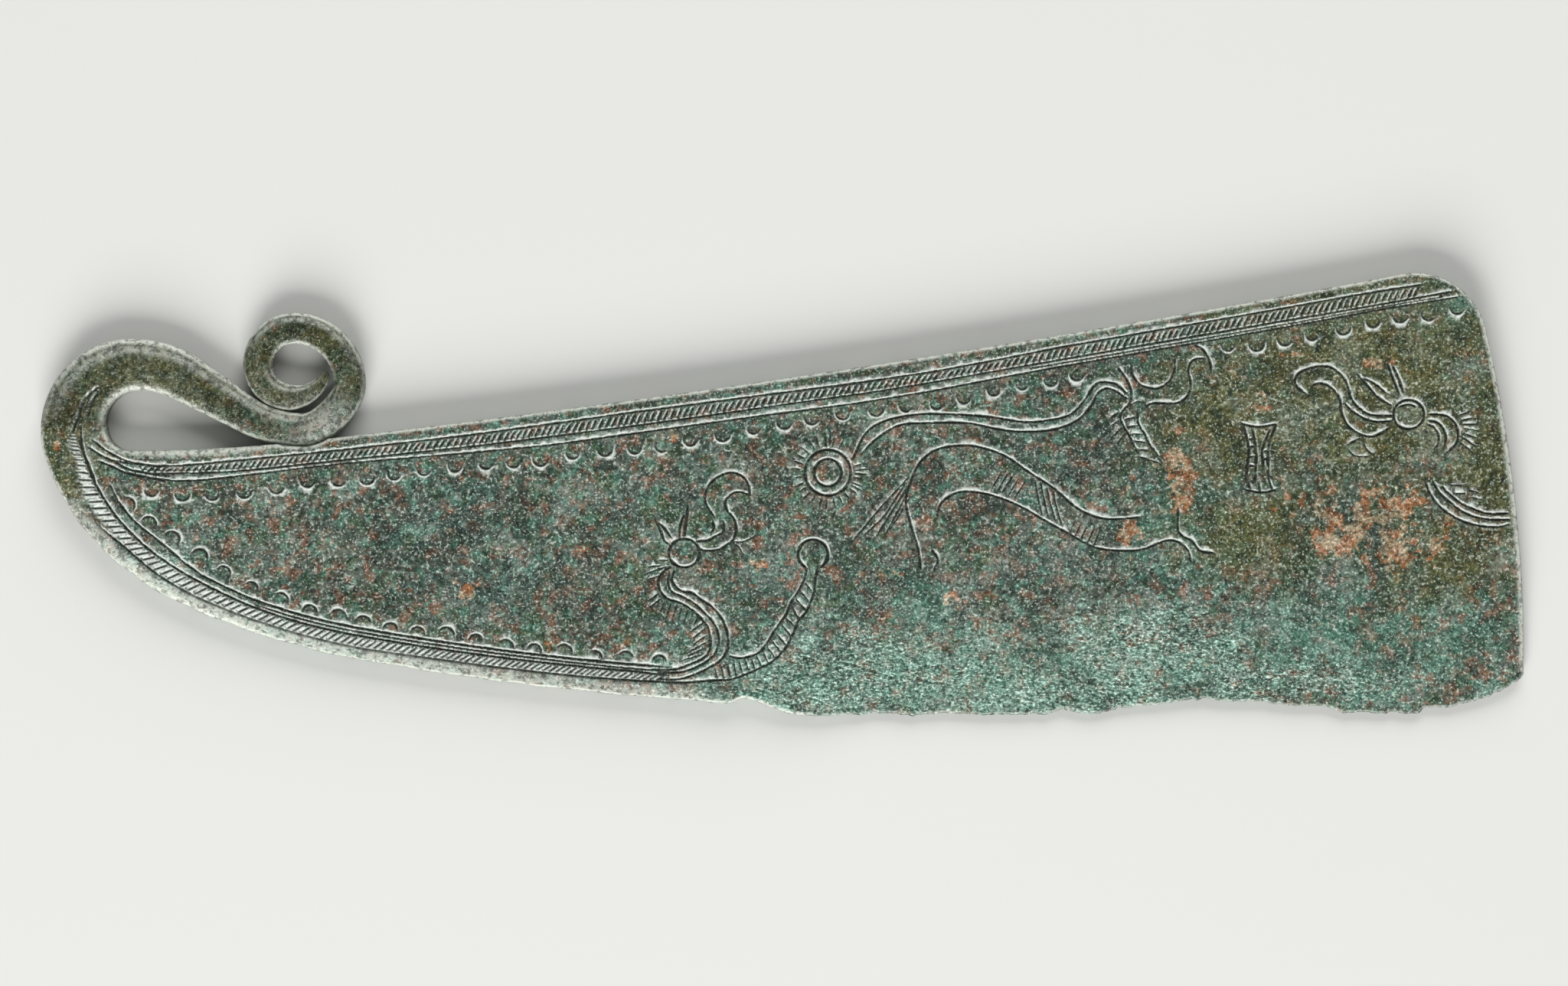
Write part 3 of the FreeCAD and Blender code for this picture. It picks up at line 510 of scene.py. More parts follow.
def rib_belly_band(work, draw, belly, normals):
    """Slanted ribs between the belly band's lines, faint and upright beside the loop."""
    last = np.argmax(belly[:, 0] > -9.6) * BELLY_STEP
    keys, outers, inners = zip(*RIB_ENDS)
    at = 1.0
    while at < last:
        index = int(at / BELLY_STEP)
        lean = np.interp(at, [0, 3, 5, 8, 12, 25, 60], [0.1, 0.35, 0.58, 0.66, 0.78, 0.68, 0.55])
        ahead = min(index + int(lean / BELLY_STEP), len(belly) - 1)
        ends = np.array([belly[index] + normals[index] * np.interp(belly[index, 0], keys, outers),
                         belly[ahead] + normals[ahead] * np.interp(belly[ahead, 0], keys, inners)])
        way = belly[ahead] - belly[index]
        way = way / max(np.hypot(*way), 1e-6)
        begun = min(1.0, at / 6.0)
        # Each rib's lip carries a painted highlight on both of its sides
        work.cut(ends, 0.08 + 0.06 * begun, 0.08 + 0.07 * begun, lip=tuple(way),
                 lip_height=0.6 + 1.3 * begun, fade=0.1, spread=0.62, both=0.65)
        pitch = np.interp(at, [0, 1.5, 2.5, 4, 6, 20, 30, 60],
                          [0.3, 0.35, 0.52, 0.62, 0.7, 0.66, 0.56, 0.5])
        at += pitch * draw.uniform(0.93, 1.07)


def punch_crescents(work, draw, belly, normals):
    """The rows of crescents, open towards the back above and towards the belly below."""
    # Each crescent, in both rows, carries a painted highlight on its lip's convex side
    for x, y in UPPER_CRESCENTS:
        lean = BACK_SLOPE - 12 + draw.uniform(-9, 9)
        centre = (x, y + 0.15)
        work.ring(centre, 0.58 + draw.uniform(-0.07, 0.05), 0.14, 0.12,
                  198 + lean, 150 + draw.uniform(-25, 20), lip=away_from(centre),
                  lip_height=draw.uniform(1.6, 2.6), fade=0.7, spread=0.42, both=0)
    for x, y in LOWER_CRESCENTS:
        index = int(np.argmin(np.hypot(belly[:, 0] - x, belly[:, 1] - y)))
        inward = angle_of(normals[index]) + draw.uniform(-8, 8)
        centre = np.array([x, y]) - normals[index] * 0.35
        work.ring(centre, 0.64 + draw.uniform(-0.08, 0.04), 0.13, 0.11,
                  inward - 75 + draw.uniform(-15, 10), 150 + draw.uniform(-30, 20),
                  lip=away_from(centre), lip_height=draw.uniform(1.2, 2.2), fade=0.6,
                  spread=0.4, both=0)


def cut_figures(work, draw):
    for name, strokes in FIGURES.items():
        half, depth, lip_height = (0.09, 0.09, 1.6) if name in FINE_FIGURES else (0.13, 0.14, BOLD_LIP)
        for stroke in strokes:
            work.cut(np.reshape(stroke, (-1, 2)), half, depth, lip_height=lip_height)
    for centre, radius, half, depth, start, turn, flat in RINGS:
        work.ring(centre, radius, half, depth, start, turn, flat, lip_height=BOLD_LIP)
    for angle in np.arange(0, 360, 13.5):
        if 24 < angle < 62:     # the cord leaves the sun here
            continue
        way = unit(angle + draw.uniform(-3, 3))
        work.cut([SUN + way * RAY_START, SUN + way * draw.uniform(2.6, 3.0)], 0.09, 0.08,
                 lip_height=1.5, fade=0.1)
    for angle in (-2, 5, -22, -28, 86, 93):
        way = unit(angle)
        work.cut([SUN + way * RAY_START, SUN + way * 3.1], 0.08, 0.08, lip_height=1.5, fade=0.1)


def engrave():
    work = Engraving()
    for name, offsets in BACK_BAND.items():
        work.cut(band_line(offsets), 0.07 if name == "third" else 0.11, 0.11, lip_height=BOLD_LIP)
    for name, offsets in BELLY_BAND.items():
        work.cut(belly_line(offsets), 0.09 if name == "middle" else 0.13, 0.14, lip_height=2.2,
                 fade=2.5)
    draw = np.random.default_rng(11)
    belly = even_line(OUTLINE["belly"], BELLY_STEP)
    normals = left_normals(belly)
    hatch_back_band(work, draw)
    rib_belly_band(work, draw, belly, normals)
    punch_crescents(work, draw, belly, normals)
    cut_figures(work, draw)
    work.finish()
    return work


WORK = engrave()


class Rim:
    """The rim round the metal, with its rounding, and at each sample how strongly its wear and a painted
    highlight show.
    """

    def __init__(self, stretches):
        self.points = np.vstack([points for points, _, _ in stretches])
        self.radius = np.concatenate([np.full(len(p), radius) for p, radius, _ in stretches])
        self.wear = np.concatenate([np.full(len(p), wear) for p, _, wear in stretches])
        self.tree = kdtree.KDTree(len(self.points))
        for index, (x, y) in enumerate(self.points):
            self.tree.insert((x, y, 0), index)
        self.tree.balance()

    def near(self, points):
        found = [self.tree.find((x, y, 0))[1:] for x, y in points]
        index = np.array([f[0] for f in found])
        distance = np.array([f[1] for f in found])
        return distance, self.radius[index], self.wear[index]


def ragged_edge():
    """The cutting edge, nicked and uneven from wear."""
    edge = even_line(np.vstack([OUTLINE["belly"][-1:], OUTLINE["edge"], OUTLINE["heel"]]), 0.12)
    normals = left_normals(edge)
    x, y = edge[:, 0], edge[:, 1]
    bite = (0.10 * (1 + wobble(x, 0, 2.4, 21)) + 0.05 * (1 + wobble(x, 0, 0.7, 22))
            + 0.24 * np.clip(wobble(x, 0, 1.3, 23) - 0.55, 0, 1))
    for place, width, depth in ((-0.4, 0.5, 0.2), (22.5, 0.9, 0.35), (34.2, 0.5, 0.3),
                                (43.6, 1.2, 0.3), (49.5, 0.6, 0.3), (52.8, 1.0, 0.25)):
        bite += depth * np.exp(-((x - place) / width) ** 2)
    ramp = np.clip((x - edge[0][0]) / 3.0, 0, 1) * np.clip((edge[-1][1] - y) / 0.8, 0, 1)
    return edge + normals * (bite * ramp)[:, None]


# The handle's route

NECK_STEPS = [(5.0, -90.0), (8.0, -LOOP_SLOPE)]
COIL_STEPS = [(9.1, LOOP_SLOPE), (2.5, 32.0), (6.5, 26.0), (2.5, 32.0), (4.45, 90.0), (2.95, 90.0)]
SIDE_RISE = 3.77            # what the three side steps climb and reach, as one quarter turn


def handle_line():
    """Middle line of the bar: the neck as far as the foot's bend, then the coil."""
    start = ROOT + np.array([ROOT_WIDTH / 2, 0])
    fall = COIL_STEPS[0][0] * (1 - math.cos(math.radians(LOOP_SLOPE)))
    reach = COIL_STEPS[0][0] * math.sin(math.radians(LOOP_SLOPE))
    bent, _ = walk(start, 90, NECK_STEPS)
    foot_x = bent[-1][0] + 2 * reach
    for _ in range(30):     # the foot slides along until it lies on the back
        foot_y = back_level(foot_x) - COIL_PRESS + FOOT_WIDTH / 2 - 0.05
        straight = (bent[-1][1] - foot_y - fall) / math.sin(math.radians(LOOP_SLOPE))
        foot_x = bent[-1][0] + straight * math.cos(math.radians(LOOP_SLOPE)) + reach
    neck = walk(start, 90, NECK_STEPS + [(straight, None)], 0.1)
    inner = SIDE_RISE + COIL_STEPS[4][0] - COIL_STEPS[5][0] - (FOOT_WIDTH + TIP_WIDTH) / 2 - TURN_GAP
    coil = walk(neck[0][-1], -LOOP_SLOPE, COIL_STEPS + [(inner, 90.0), (3.1, 66.0)], 0.14)
    return neck, coil, np.array([foot_x, foot_y])


(NECK, NECK_ENDS), (COIL, COIL_ENDS), FOOT = handle_line()


def along_steps(ends, values, count):
    """A value that is set where the steps meet and blends between them."""
    return np.interp(np.arange(count), [0] + list(ends), values)


NECK_WIDTH = along_steps(NECK_ENDS, [ROOT_WIDTH, 4.2, 3.9, 3.0], len(NECK))
NECK_THICK = along_steps(NECK_ENDS, [THICK, 2.5, 2.5, 2.5], len(NECK))
NECK_ROUND = along_steps(NECK_ENDS, [8.0, 3.0, 2.6, 2.5], len(NECK))
COIL_WIDTH = along_steps(COIL_ENDS, [3.0, FOOT_WIDTH, 2.7, 2.64, 2.6, 2.5, 2.42, TIP_WIDTH, 0.8],
                         len(COIL))
COIL_THICK = along_steps(COIL_ENDS, [2.5, 2.4, 2.4, 2.4, 2.4, 2.25, 2.25, 2.0, 1.0], len(COIL))
COIL_ROUND = along_steps(COIL_ENDS, [2.5] * 8 + [2.2], len(COIL))


def seated(points):
    """The back's outline with the hollow that the coil's foot lies in."""
    out = points.copy()
    for step, left in ((0, True), (1, False)):
        radius = COIL_STEPS[step][0] + FOOT_WIDTH / 2
        centre_y = FOOT[1] + COIL_STEPS[step][0]
        dx = points[:, 0] - FOOT[0]
        side = (dx < 0) if left else (dx >= 0)
        inside = side & (np.abs(dx) < radius * 0.8)
        low = centre_y - np.sqrt(np.maximum(radius ** 2 - dx ** 2, 0))
        out[:, 1] = np.where(inside, np.minimum(out[:, 1], low), out[:, 1])
    return out


# The blade

def top_height(points):
    """The upper face before rounding and engraving: level along the back, then tapered."""
    x, y = points[:, 0], points[:, 1]
    slope = math.radians(BACK_SLOPE)
    below = (back_level(0.0) - y) * math.cos(slope) + x * math.sin(slope)
    face = THICK - np.maximum(0, below - TAPER_INSET) * TAPER
    started = np.clip((x - OUTLINE["notch"][0]) / BEVEL_RUNOUT, 0, 1)
    reach = np.maximum(BEVEL_WIDTH * started, 1e-3)
    inward = y + HALF_WIDTH
    full = THICK - np.maximum(0, below + inward - BEVEL_WIDTH - TAPER_INSET) * TAPER
    rise = (full - EDGE_HEIGHT - EDGE_LAND / 2) / BEVEL_WIDTH
    cut = np.maximum(0, reach - inward) * rise
    return face - cut


def under_height(points):
    started = np.clip((points[:, 0] - OUTLINE["notch"][0]) / BEVEL_RUNOUT, 0, 1)
    rise = (EDGE_HEIGHT - EDGE_LAND / 2) / BEVEL_WIDTH
    return np.maximum(0, BEVEL_WIDTH * started - points[:, 1] - HALF_WIDTH) * rise


def rounding(distance, radius):
    """How far a rounded rim has dropped at each distance from the outline."""
    inside = np.clip(distance, 0, radius)
    return radius - np.sqrt(np.maximum(radius ** 2 - (radius - inside) ** 2, 0))


def unevenness(points):
    x, y = points[:, 0], points[:, 1]
    return 0.05 * wobble(x, y, 22, 31) + 0.022 * wobble(x, y, 5, 32) + 0.008 * wobble(x, y, 1.4, 33)


def zone(points, spots):
    """How far each point is inside the ellipses, whose edges are soft and ragged."""
    x, y = points.T
    total = np.zeros(len(points))
    ragged = 0.35 * wobble(x, y, 4, 41) + 0.2 * wobble(x, y, 1.5, 42)
    for middle_x, middle_y, wide, high in spots:
        reach = np.hypot((x - middle_x) / wide, (y - middle_y) / high)
        total = np.maximum(total, np.clip(1.35 - reach + ragged, 0, 1))
    return total


# Patches of the patina, each an ellipse's middle and half width and height.
OLIVE = [(47, 9, 13, 10), (36, 6, 7, 6), (-50, 10, 12, 5), (-58, 3, 3, 8), (-38.5, 11, 6, 5),
         (57, 2, 4, 8), (53, -5, 5, 4), (38, -3, 6, 4)]
TEAL = [(20, -15, 24, 3.5), (46, -12, 13, 4), (-1, -16, 7, 3), (11, -9.5, 2.5, 2.5),
        (33, -3, 5, 4), (-56.8, 10.8, 2.4, 2.2), (54.5, 15, 3, 2.5), (-42, -11.5, 6, 1.5)]
RUST = [(46.8, -2.2, 6.5, 3.2), (50.5, -5.0, 3.5, 2.0), (32.0, 1.8, 1.9, 3.0), (28.3, -3.4, 1.8, 1.2),
        (28, 0.8, 1.0, 0.8), (38.9, 7.5, 1.5, 1.0), (7.4, -6.4, 1.6, 0.9), (-1.6, -5.7, 1.4, 0.9),
        (-25.8, -7.8, 1.4, 1.2), (-26.4, -3.1, 0.9, 0.7), (47.5, 10.5, 1.6, 0.8),
        (-58.6, 4.0, 0.8, 0.9), (14, -8.5, 1.5, 1), (-9, 5, 1.2, 0.9), (41.5, 11.4, 0.9, 0.5)]
PALE = [(6, -14.8, 16, 4.0), (24, -16, 12, 2.5), (-50, -6.0, 3, 2), (40, -15, 12, 1.8), (30, -12, 9, 3)]
DEEP = [(-27, -2.5, 7, 4), (-23, -6.5, 7, 3), (1, -11.5, 4, 2), (27, 4.5, 7, 4), (12, -8, 4, 3),
        (36, 2, 5, 3), (40, -10, 6, 3), (-8, 10, 9, 2.5), (24, -6, 7, 3)]


def dressed_mesh(name, points3, faces, marks, uv=None):
    """A closed piece that keeps its marks (groove, lip, rim) and its zones as attributes."""
    mesh = bpy.data.meshes.new(name)
    mesh.from_pydata((points3 * MM).tolist(), [], faces)
    mesh.validate()
    mesh.update()
    flat = points3[:, :2]
    marks = np.column_stack([marks, zone(flat, DEEP)])
    zones = np.column_stack([zone(flat, spots) for spots in (OLIVE, TEAL, RUST, PALE)])
    for label, values in (("marks", marks), ("zones", zones)):
        layer = mesh.color_attributes.new(label, "FLOAT_COLOR", "POINT")
        layer.data.foreach_set("color", np.clip(values, 0, 1).astype(np.float32).ravel())
    mesh.polygons.foreach_set("use_smooth", np.ones(len(mesh.polygons), bool))
    if uv is not None:
        layer = mesh.uv_layers.new(name="OFBake")
        corner = np.zeros(len(mesh.loops), np.int32)
        mesh.loops.foreach_get("vertex_index", corner)
        layer.data.foreach_set("uv", uv(corner).astype(np.float32).ravel())
    piece = bpy.data.objects.new(name, mesh)
    bpy.context.scene.collection.objects.link(piece)
    return piece


def blade_border():
    """The plate's worn outline with the coil's seat, and the rim that its rounding follows."""
    belly = even_line(OUTLINE["belly"], 0.2)
    worn = 0.05 + 0.05 * wobble(belly[:, 0], belly[:, 1], 3, 51)
    belly = belly + left_normals(belly) * worn[:, None]
    belly[0] = ROOT
    back = seated(even_line(np.vstack([OUTLINE["heel_end"], OUTLINE["back"]]), 0.18))
    edge = ragged_edge()[1:]
    seam = even_line(np.array([back[-1], belly[0]]), 0.2)[1:-1]
    rim = Rim([(even_line(belly, 0.05), RIM_RADIUS, 1.0), (even_line(edge, 0.05), 0.14, 0.55),
               (even_line(back, 0.05), RIM_RADIUS, 1.0),
               (bar_side(NECK, NECK_WIDTH, 1)[:40], RIM_RADIUS, 0.5),
               (bar_side(NECK, NECK_WIDTH, -1)[:40], RIM_RADIUS, 1.0)])
    return np.vstack([belly, edge, back, seam]), rim


def face_points(border):
    """Points for the engraved face, close beside rim and grooves, and fewer for the plain one."""
    inward = left_normals(np.vstack([border, border[:1]]))[:-1]
    close = [border + inward * offset for offset in (0.05, 0.13, 0.24, 0.36, 0.5, 0.75)]
    for line, half in WORK.lines:
        thin = line[::2]
        across = left_normals(thin)
        close.append(thin)
        for share in (0.5, 0.95, 1.3, 1.8):
            close.append(thin + across * half * share)
            close.append(thin - across * half * share)
    columns = np.arange(-HALF_LENGTH, HALF_LENGTH, GRID_STEP)
    rows = np.arange(-HALF_WIDTH, HALF_WIDTH, GRID_STEP * 0.87)
    grid = np.vstack([np.column_stack([columns + (GRID_STEP / 2 if i % 2 else 0),
                                       np.full(len(columns), y)]) for i, y in enumerate(rows)])
    spare = np.array([WORK.tree.find((x, y, 0))[2] for x, y in grid]) > 0.3
    grid = grid[spare]
    fine = thinned(np.vstack(close + [grid]), 0.075)
    near_rim = [border + inward * offset for offset in (0.13, 0.36, 0.75)]
    return fine, thinned(np.vstack(near_rim + [grid[::9]]), 0.2)


def upper_face(points, rim):
    """The engraved face's points with their height, and their marks."""
    x = points[:, 0]
    distance, radius, wear = rim.near(points)
    drop, groove, lip = WORK.relief(points)
    drop[distance < 0.3] *= 0.3
    # The rim's bright band is rubbed metal and a painted highlight. It is widest at the loop's floor and
    # the heel end, with a silvery margin on the belly.
    broad = 0.32 + 0.4 * np.exp(-((x + 47.5) / 5.5) ** 2) + 0.22 * np.clip((x - 54) / 4, 0, 1)
    rim_wear_and_highlight = np.clip(1.6 * (1 - distance / np.where(wear > 0.9, broad, 0.22)), 0, 1)
    margin = belly_share(points, distance)
    silver = np.interp(x, [-60, -54, -30, -5], [0.2, 0.62, 0.5, 0.3])
    rim_wear_and_highlight = np.maximum(rim_wear_and_highlight, silver * np.clip(margin * 2.5, 0, 1))
    rim_wear_and_highlight *= np.clip(0.25 + distance / 0.13, 0, 1)
    height = (top_height(points) + unevenness(points) * np.clip(distance / 2, 0, 1) * 0.5
              - rounding(distance, radius) - 0.3 * margin ** 2 - drop)
    marks = np.column_stack([groove, lip, rim_wear_and_highlight * wear])
    return np.column_stack([points, np.minimum(height, THICK)]), marks


def under_face(points, rim):
    distance, radius, _ = rim.near(points)
    height = under_height(points) + rounding(distance, np.minimum(radius, 0.45))
    return np.column_stack([points, height])


def blade_skin():
    """Both faces of the plate as one fine closed mesh, engraved on the upper face."""
    border, rim = blade_border()
    count = len(border)
    fine, coarse = face_points(border)
    top_points, top_faces = filled(border, fine)
    low_points, low_faces = filled(border, coarse)
    top, marks = upper_face(top_points, rim)
    low = under_face(low_points, rim)
    start = len(top)
    faces = [tuple(face) for face in top_faces]
    faces += [tuple(start + i for i in reversed(face)) for face in low_faces]
    faces += [(i, start + i, start + (i + 1) % count, (i + 1) % count) for i in range(count)]
    points = np.vstack([top, low])

    def uv(corner):
        x = (points[corner, 0] + HALF_LENGTH) / (LENGTH * 1.02) + 0.01
        y = (points[corner, 1] + HALF_WIDTH) / (LENGTH * 1.02) + 0.01
        return np.column_stack([x, np.where(corner < start, y, y + 0.33)])

    return dressed_mesh("blade_skin", points, faces, np.vstack([marks, np.zeros((len(low), 3))]), uv)


def belly_share(points, distance):
    """1 on the belly's rim, falling to 0 at the band: the margin there is softly rounded."""
    ramp = np.clip((ROOT[1] - 1 - points[:, 1]) / 6, 0, 1) * np.clip(
        (OUTLINE["notch"][0] - points[:, 0]) / 6, 0, 1)
    low = points[:, 1] < back_level(points[:, 0]) - 4
    return np.clip(1 - distance / 1.25, 0, 1) * ramp * low


def thinned(points, cell):
    """One point for each cell of a fine grid, the earliest kept."""
    keys = np.round(points / cell).astype(int)
    _, first = np.unique(keys, axis=0, return_index=True)
    return points[np.sort(first)]


def filled(border, inner):
    """Triangles over a region with the given border and inner points."""
    count = len(border)
    points = [Vector(p) for p in np.vstack([border, inner])]
    edges = [(i, (i + 1) % count) for i in range(count)]
    out = geometry.delaunay_2d_cdt(points, edges, [], 1, 1e-6)
    spots = np.array([tuple(p) for p in out[0]])
    faces = np.array(out[2])
    order = np.full(len(spots), -1)
    for new, olds in enumerate(out[3]):
        for old in olds:
            if old < count:
                order[new] = old
    used = np.zeros(len(spots), bool)
    used[faces.ravel()] = True
    loop = np.full(count, -1)
    loop[order[order >= 0]] = np.nonzero(order >= 0)[0]
    if (loop < 0).any() or not used[loop].all():
        raise RuntimeError("the border lost a point")
    rest = np.nonzero(used & (order < 0))[0]
    sequence = np.concatenate([loop, rest])
    where = np.zeros(len(spots), int)
    where[sequence] = np.arange(len(sequence))
    faces = where[faces]
    spots = spots[sequence]
    a, b, c = spots[faces[:, 0]], spots[faces[:, 1]], spots[faces[:, 2]]
    turned = (b[:, 0] - a[:, 0]) * (c[:, 1] - a[:, 1]) < (b[:, 1] - a[:, 1]) * (c[:, 0] - a[:, 0])
    faces[turned] = faces[turned][:, ::-1]
    return spots, faces


def bar_side(line, widths, side):
    return line + left_normals(line) * (widths / 2 * side)[:, None]


# The handle

def bar_rings(line, normals, widths, thicks, powers):
    """The section round each point of a bar, with how far sideways and up each spot is.

    The section is a flattened round: the higher the power, the squarer it is."""
    sweep = np.sin(np.linspace(1, -1, BAR_SIDES + 1) * math.pi / 2)
    across = np.concatenate([sweep, sweep[::-1][1:-1]])
    upper = np.concatenate([np.ones(BAR_SIDES + 1), -np.ones(BAR_SIDES - 1)])
    rows, tops = [], []
    for point, normal, width, thick, power in zip(line, normals, widths, thicks, powers):
        bulge = (1 - np.minimum(np.abs(across), 1) ** power) ** (1 / power) * upper
        flat = point + normal * (across * width / 2)[:, None]
        rows.append(np.column_stack([flat, THICK / 2 + bulge * thick / 2]))
        tops.append(bulge)
    return np.vstack(rows), np.tile(across, len(line)), np.concatenate(tops)


def bar_marks(points, sides, tops, north):
    """The bar's marks: painted highlights on its shoulders, top and foot, and how deep grooves that reach
    it cut.
    """
    drop, groove, lip = WORK.relief(points[:, :2])
    level = np.clip((tops - 0.7) / 0.2, 0, 1)
    # Painted highlight: a pale streak along the top, on the side facing north
    ridge_highlight = np.exp(-((np.abs(sides) - 0.58) / 0.17) ** 2) * np.clip(north, 0, 1) * 0.5
    # Painted highlight along both shoulders, strongest on the sides that face the lamps, north and south
    worn = np.exp(-((np.abs(sides) - 0.92) / 0.13) ** 2) * (0.2 + 0.8 * np.abs(north))
    # Painted highlight on the foot
    foot = np.hypot(points[:, 0] - FOOT[0] - 1.8, points[:, 1] - FOOT[1] - 0.3)
    worn = np.maximum(np.maximum(worn, ridge_highlight), 0.45 * np.exp(-(foot / 2.3) ** 2)) * (tops > 0)
    return np.column_stack([groove * level, lip * level, worn]), drop * level


def capped(points, line, way, size, tip_closed):
    """A bar's faces, with a cap at either end, and the points that the caps add."""
    faces = []
    for index in range(len(line) - 1):
        a, b = index * size, (index + 1) * size
        faces += [(a + i, a + (i + 1) % size, b + (i + 1) % size, b + i) for i in range(size)]
    extra = []
    for index, out in ((0, -BAR_TUCK), (len(line) - 1, 0.18 if tip_closed else 0.0)):
        base = index * size
        ring_points = points[base:base + size]
        middle = np.append(line[index], ring_points[:, 2].mean())
        shift = np.append(way[index] * out, 0)
        cap = len(points) + len(extra)
        shrink = 0.45 if (index and tip_closed) else 0.94
        extra += list(middle + (ring_points - middle) * shrink + shift)
        centre = len(points) + len(extra)
        extra.append(middle + shift * (1.25 if index else 1.0))
        for i in range(size):
            j = (i + 1) % size
            if index:
                faces.append((base + i, base + j, cap + j, cap + i))
                faces.append((cap + i, cap + j, centre))
            else:
                faces.append((base + j, base + i, cap + i, cap + j))
                faces.append((cap + j, cap + i, centre))
    return faces, np.array(extra)


def bar_skin(name, line, widths, thicks, powers, tip_closed):
    """A stretch of the handle's bar, closed at both ends; its start tucks into the last one."""
    normals = left_normals(line)
    way = -np.stack([-normals[:, 1], normals[:, 0]], axis=1)
    points, sides, tops = bar_rings(line, normals, widths, thicks, powers)
    size = len(points) // len(line)
    marks, drop = bar_marks(points, sides, tops, np.repeat(normals[:, 1], size) * np.sign(sides))
    x, y, z = points.T
    uneven = 0.05 * wobble(x, y, 3.1, 61) + 0.025 * wobble(x + z, y, 1.1, 62)
    drop = drop + np.maximum(uneven, -0.01) * np.clip(tops, 0, 1)
    points[:, 2] = np.clip(z - drop, 0, THICK)
    faces, extra = capped(points, line, way, size, tip_closed)
    return dressed_mesh(name, np.vstack([points, extra]), faces,
                        np.vstack([marks, np.zeros((len(extra), 3))]))


blade = blade_skin()
neck = bar_skin("neck_skin", NECK, NECK_WIDTH, NECK_THICK, NECK_ROUND, False)
coil = bar_skin("coil_skin", COIL, COIL_WIDTH, COIL_THICK, COIL_ROUND, True)


# The materials

def srgb(red, green, blue):
    """A colour as a photograph states it, turned to the scale that the shader uses."""
    def linear(value):
        value /= 255
        return value / 12.92 if value <= 0.04045 else ((value + 0.055) / 1.055) ** 2.4
    return (linear(red), linear(green), linear(blue), 1)


class ShaderKit:
    """Short calls that add nodes to a material, with all patterns in millimetres."""

    def __init__(self, tree):
        self.nodes, self.links = tree.nodes, tree.links
        self.scaled = self.nodes.new("ShaderNodeMapping")
        self.scaled.inputs["Scale"].default_value = (1 / MM, 1 / MM, 1 / MM)
        place = self.nodes.new("ShaderNodeTexCoord")
        self.links.new(place.outputs["Object"], self.scaled.inputs["Vector"])

    def noise(self, scale, detail, rough, shift, stretch=None):
        node = self.nodes.new("ShaderNodeTexNoise")
        node.inputs["Scale"].default_value = scale
        node.inputs["Detail"].default_value = detail
        node.inputs["Roughness"].default_value = rough
        moved = self.nodes.new("ShaderNodeMapping")
        moved.inputs["Location"].default_value = (shift, shift * 0.7, 0)
        if stretch:
            moved.inputs["Scale"].default_value = stretch
            moved.inputs["Rotation"].default_value = (0, 0, 0.5)
        self.links.new(self.scaled.outputs["Vector"], moved.inputs["Vector"])
        self.links.new(moved.outputs[0], node.inputs["Vector"])
        return node.outputs["Fac"]

    def ramp(self, value, low, high, to_low=0, to_high=1):
        node = self.nodes.new("ShaderNodeMapRange")
        node.interpolation_type = "SMOOTHSTEP"
        for label, amount in (("Value", value), ("From Min", low), ("From Max", high),
                              ("To Min", to_low), ("To Max", to_high)):
            self.feed(node.inputs[label], amount)
        return node.outputs["Result"]

    def feed(self, socket, value):
        if isinstance(value, (int, float, tuple)):
            socket.default_value = value
        else:
            self.links.new(value, socket)

    def calc(self, kind, first, second):
        node = self.nodes.new("ShaderNodeMath")
        node.operation = kind
        for socket, value in zip(node.inputs, (first, second)):
            self.feed(socket, value)
        return node.outputs[0]

    def mix(self, share, below, above, kind="MIX"):
        node = self.nodes.new("ShaderNodeMix")
        node.data_type = "RGBA"
        node.blend_type = kind
        node.clamp_factor = True
        for label, value in (("Factor", share), ("A", below), ("B", above)):
            self.feed(node.inputs[label], value)
        return node.outputs["Result"]

    def channels(self, label):
        source = self.nodes.new("ShaderNodeVertexColor")
        source.layer_name = label
        parts = self.nodes.new("ShaderNodeSeparateColor")
        self.links.new(source.outputs["Color"], parts.inputs["Color"])
        return list(parts.outputs) + [source.outputs["Alpha"]]

    def layered(self, colour, layers):
        """Each layer is its zone or None, its noise, the noise's range and shares, and a colour."""
        for area, value, limits, tint, kind in layers:
            share = self.ramp(value, *limits)
            if area is not None:
                share = self.calc("MULTIPLY", area, share)
            colour = self.mix(share, colour, tint, kind)
        return colour


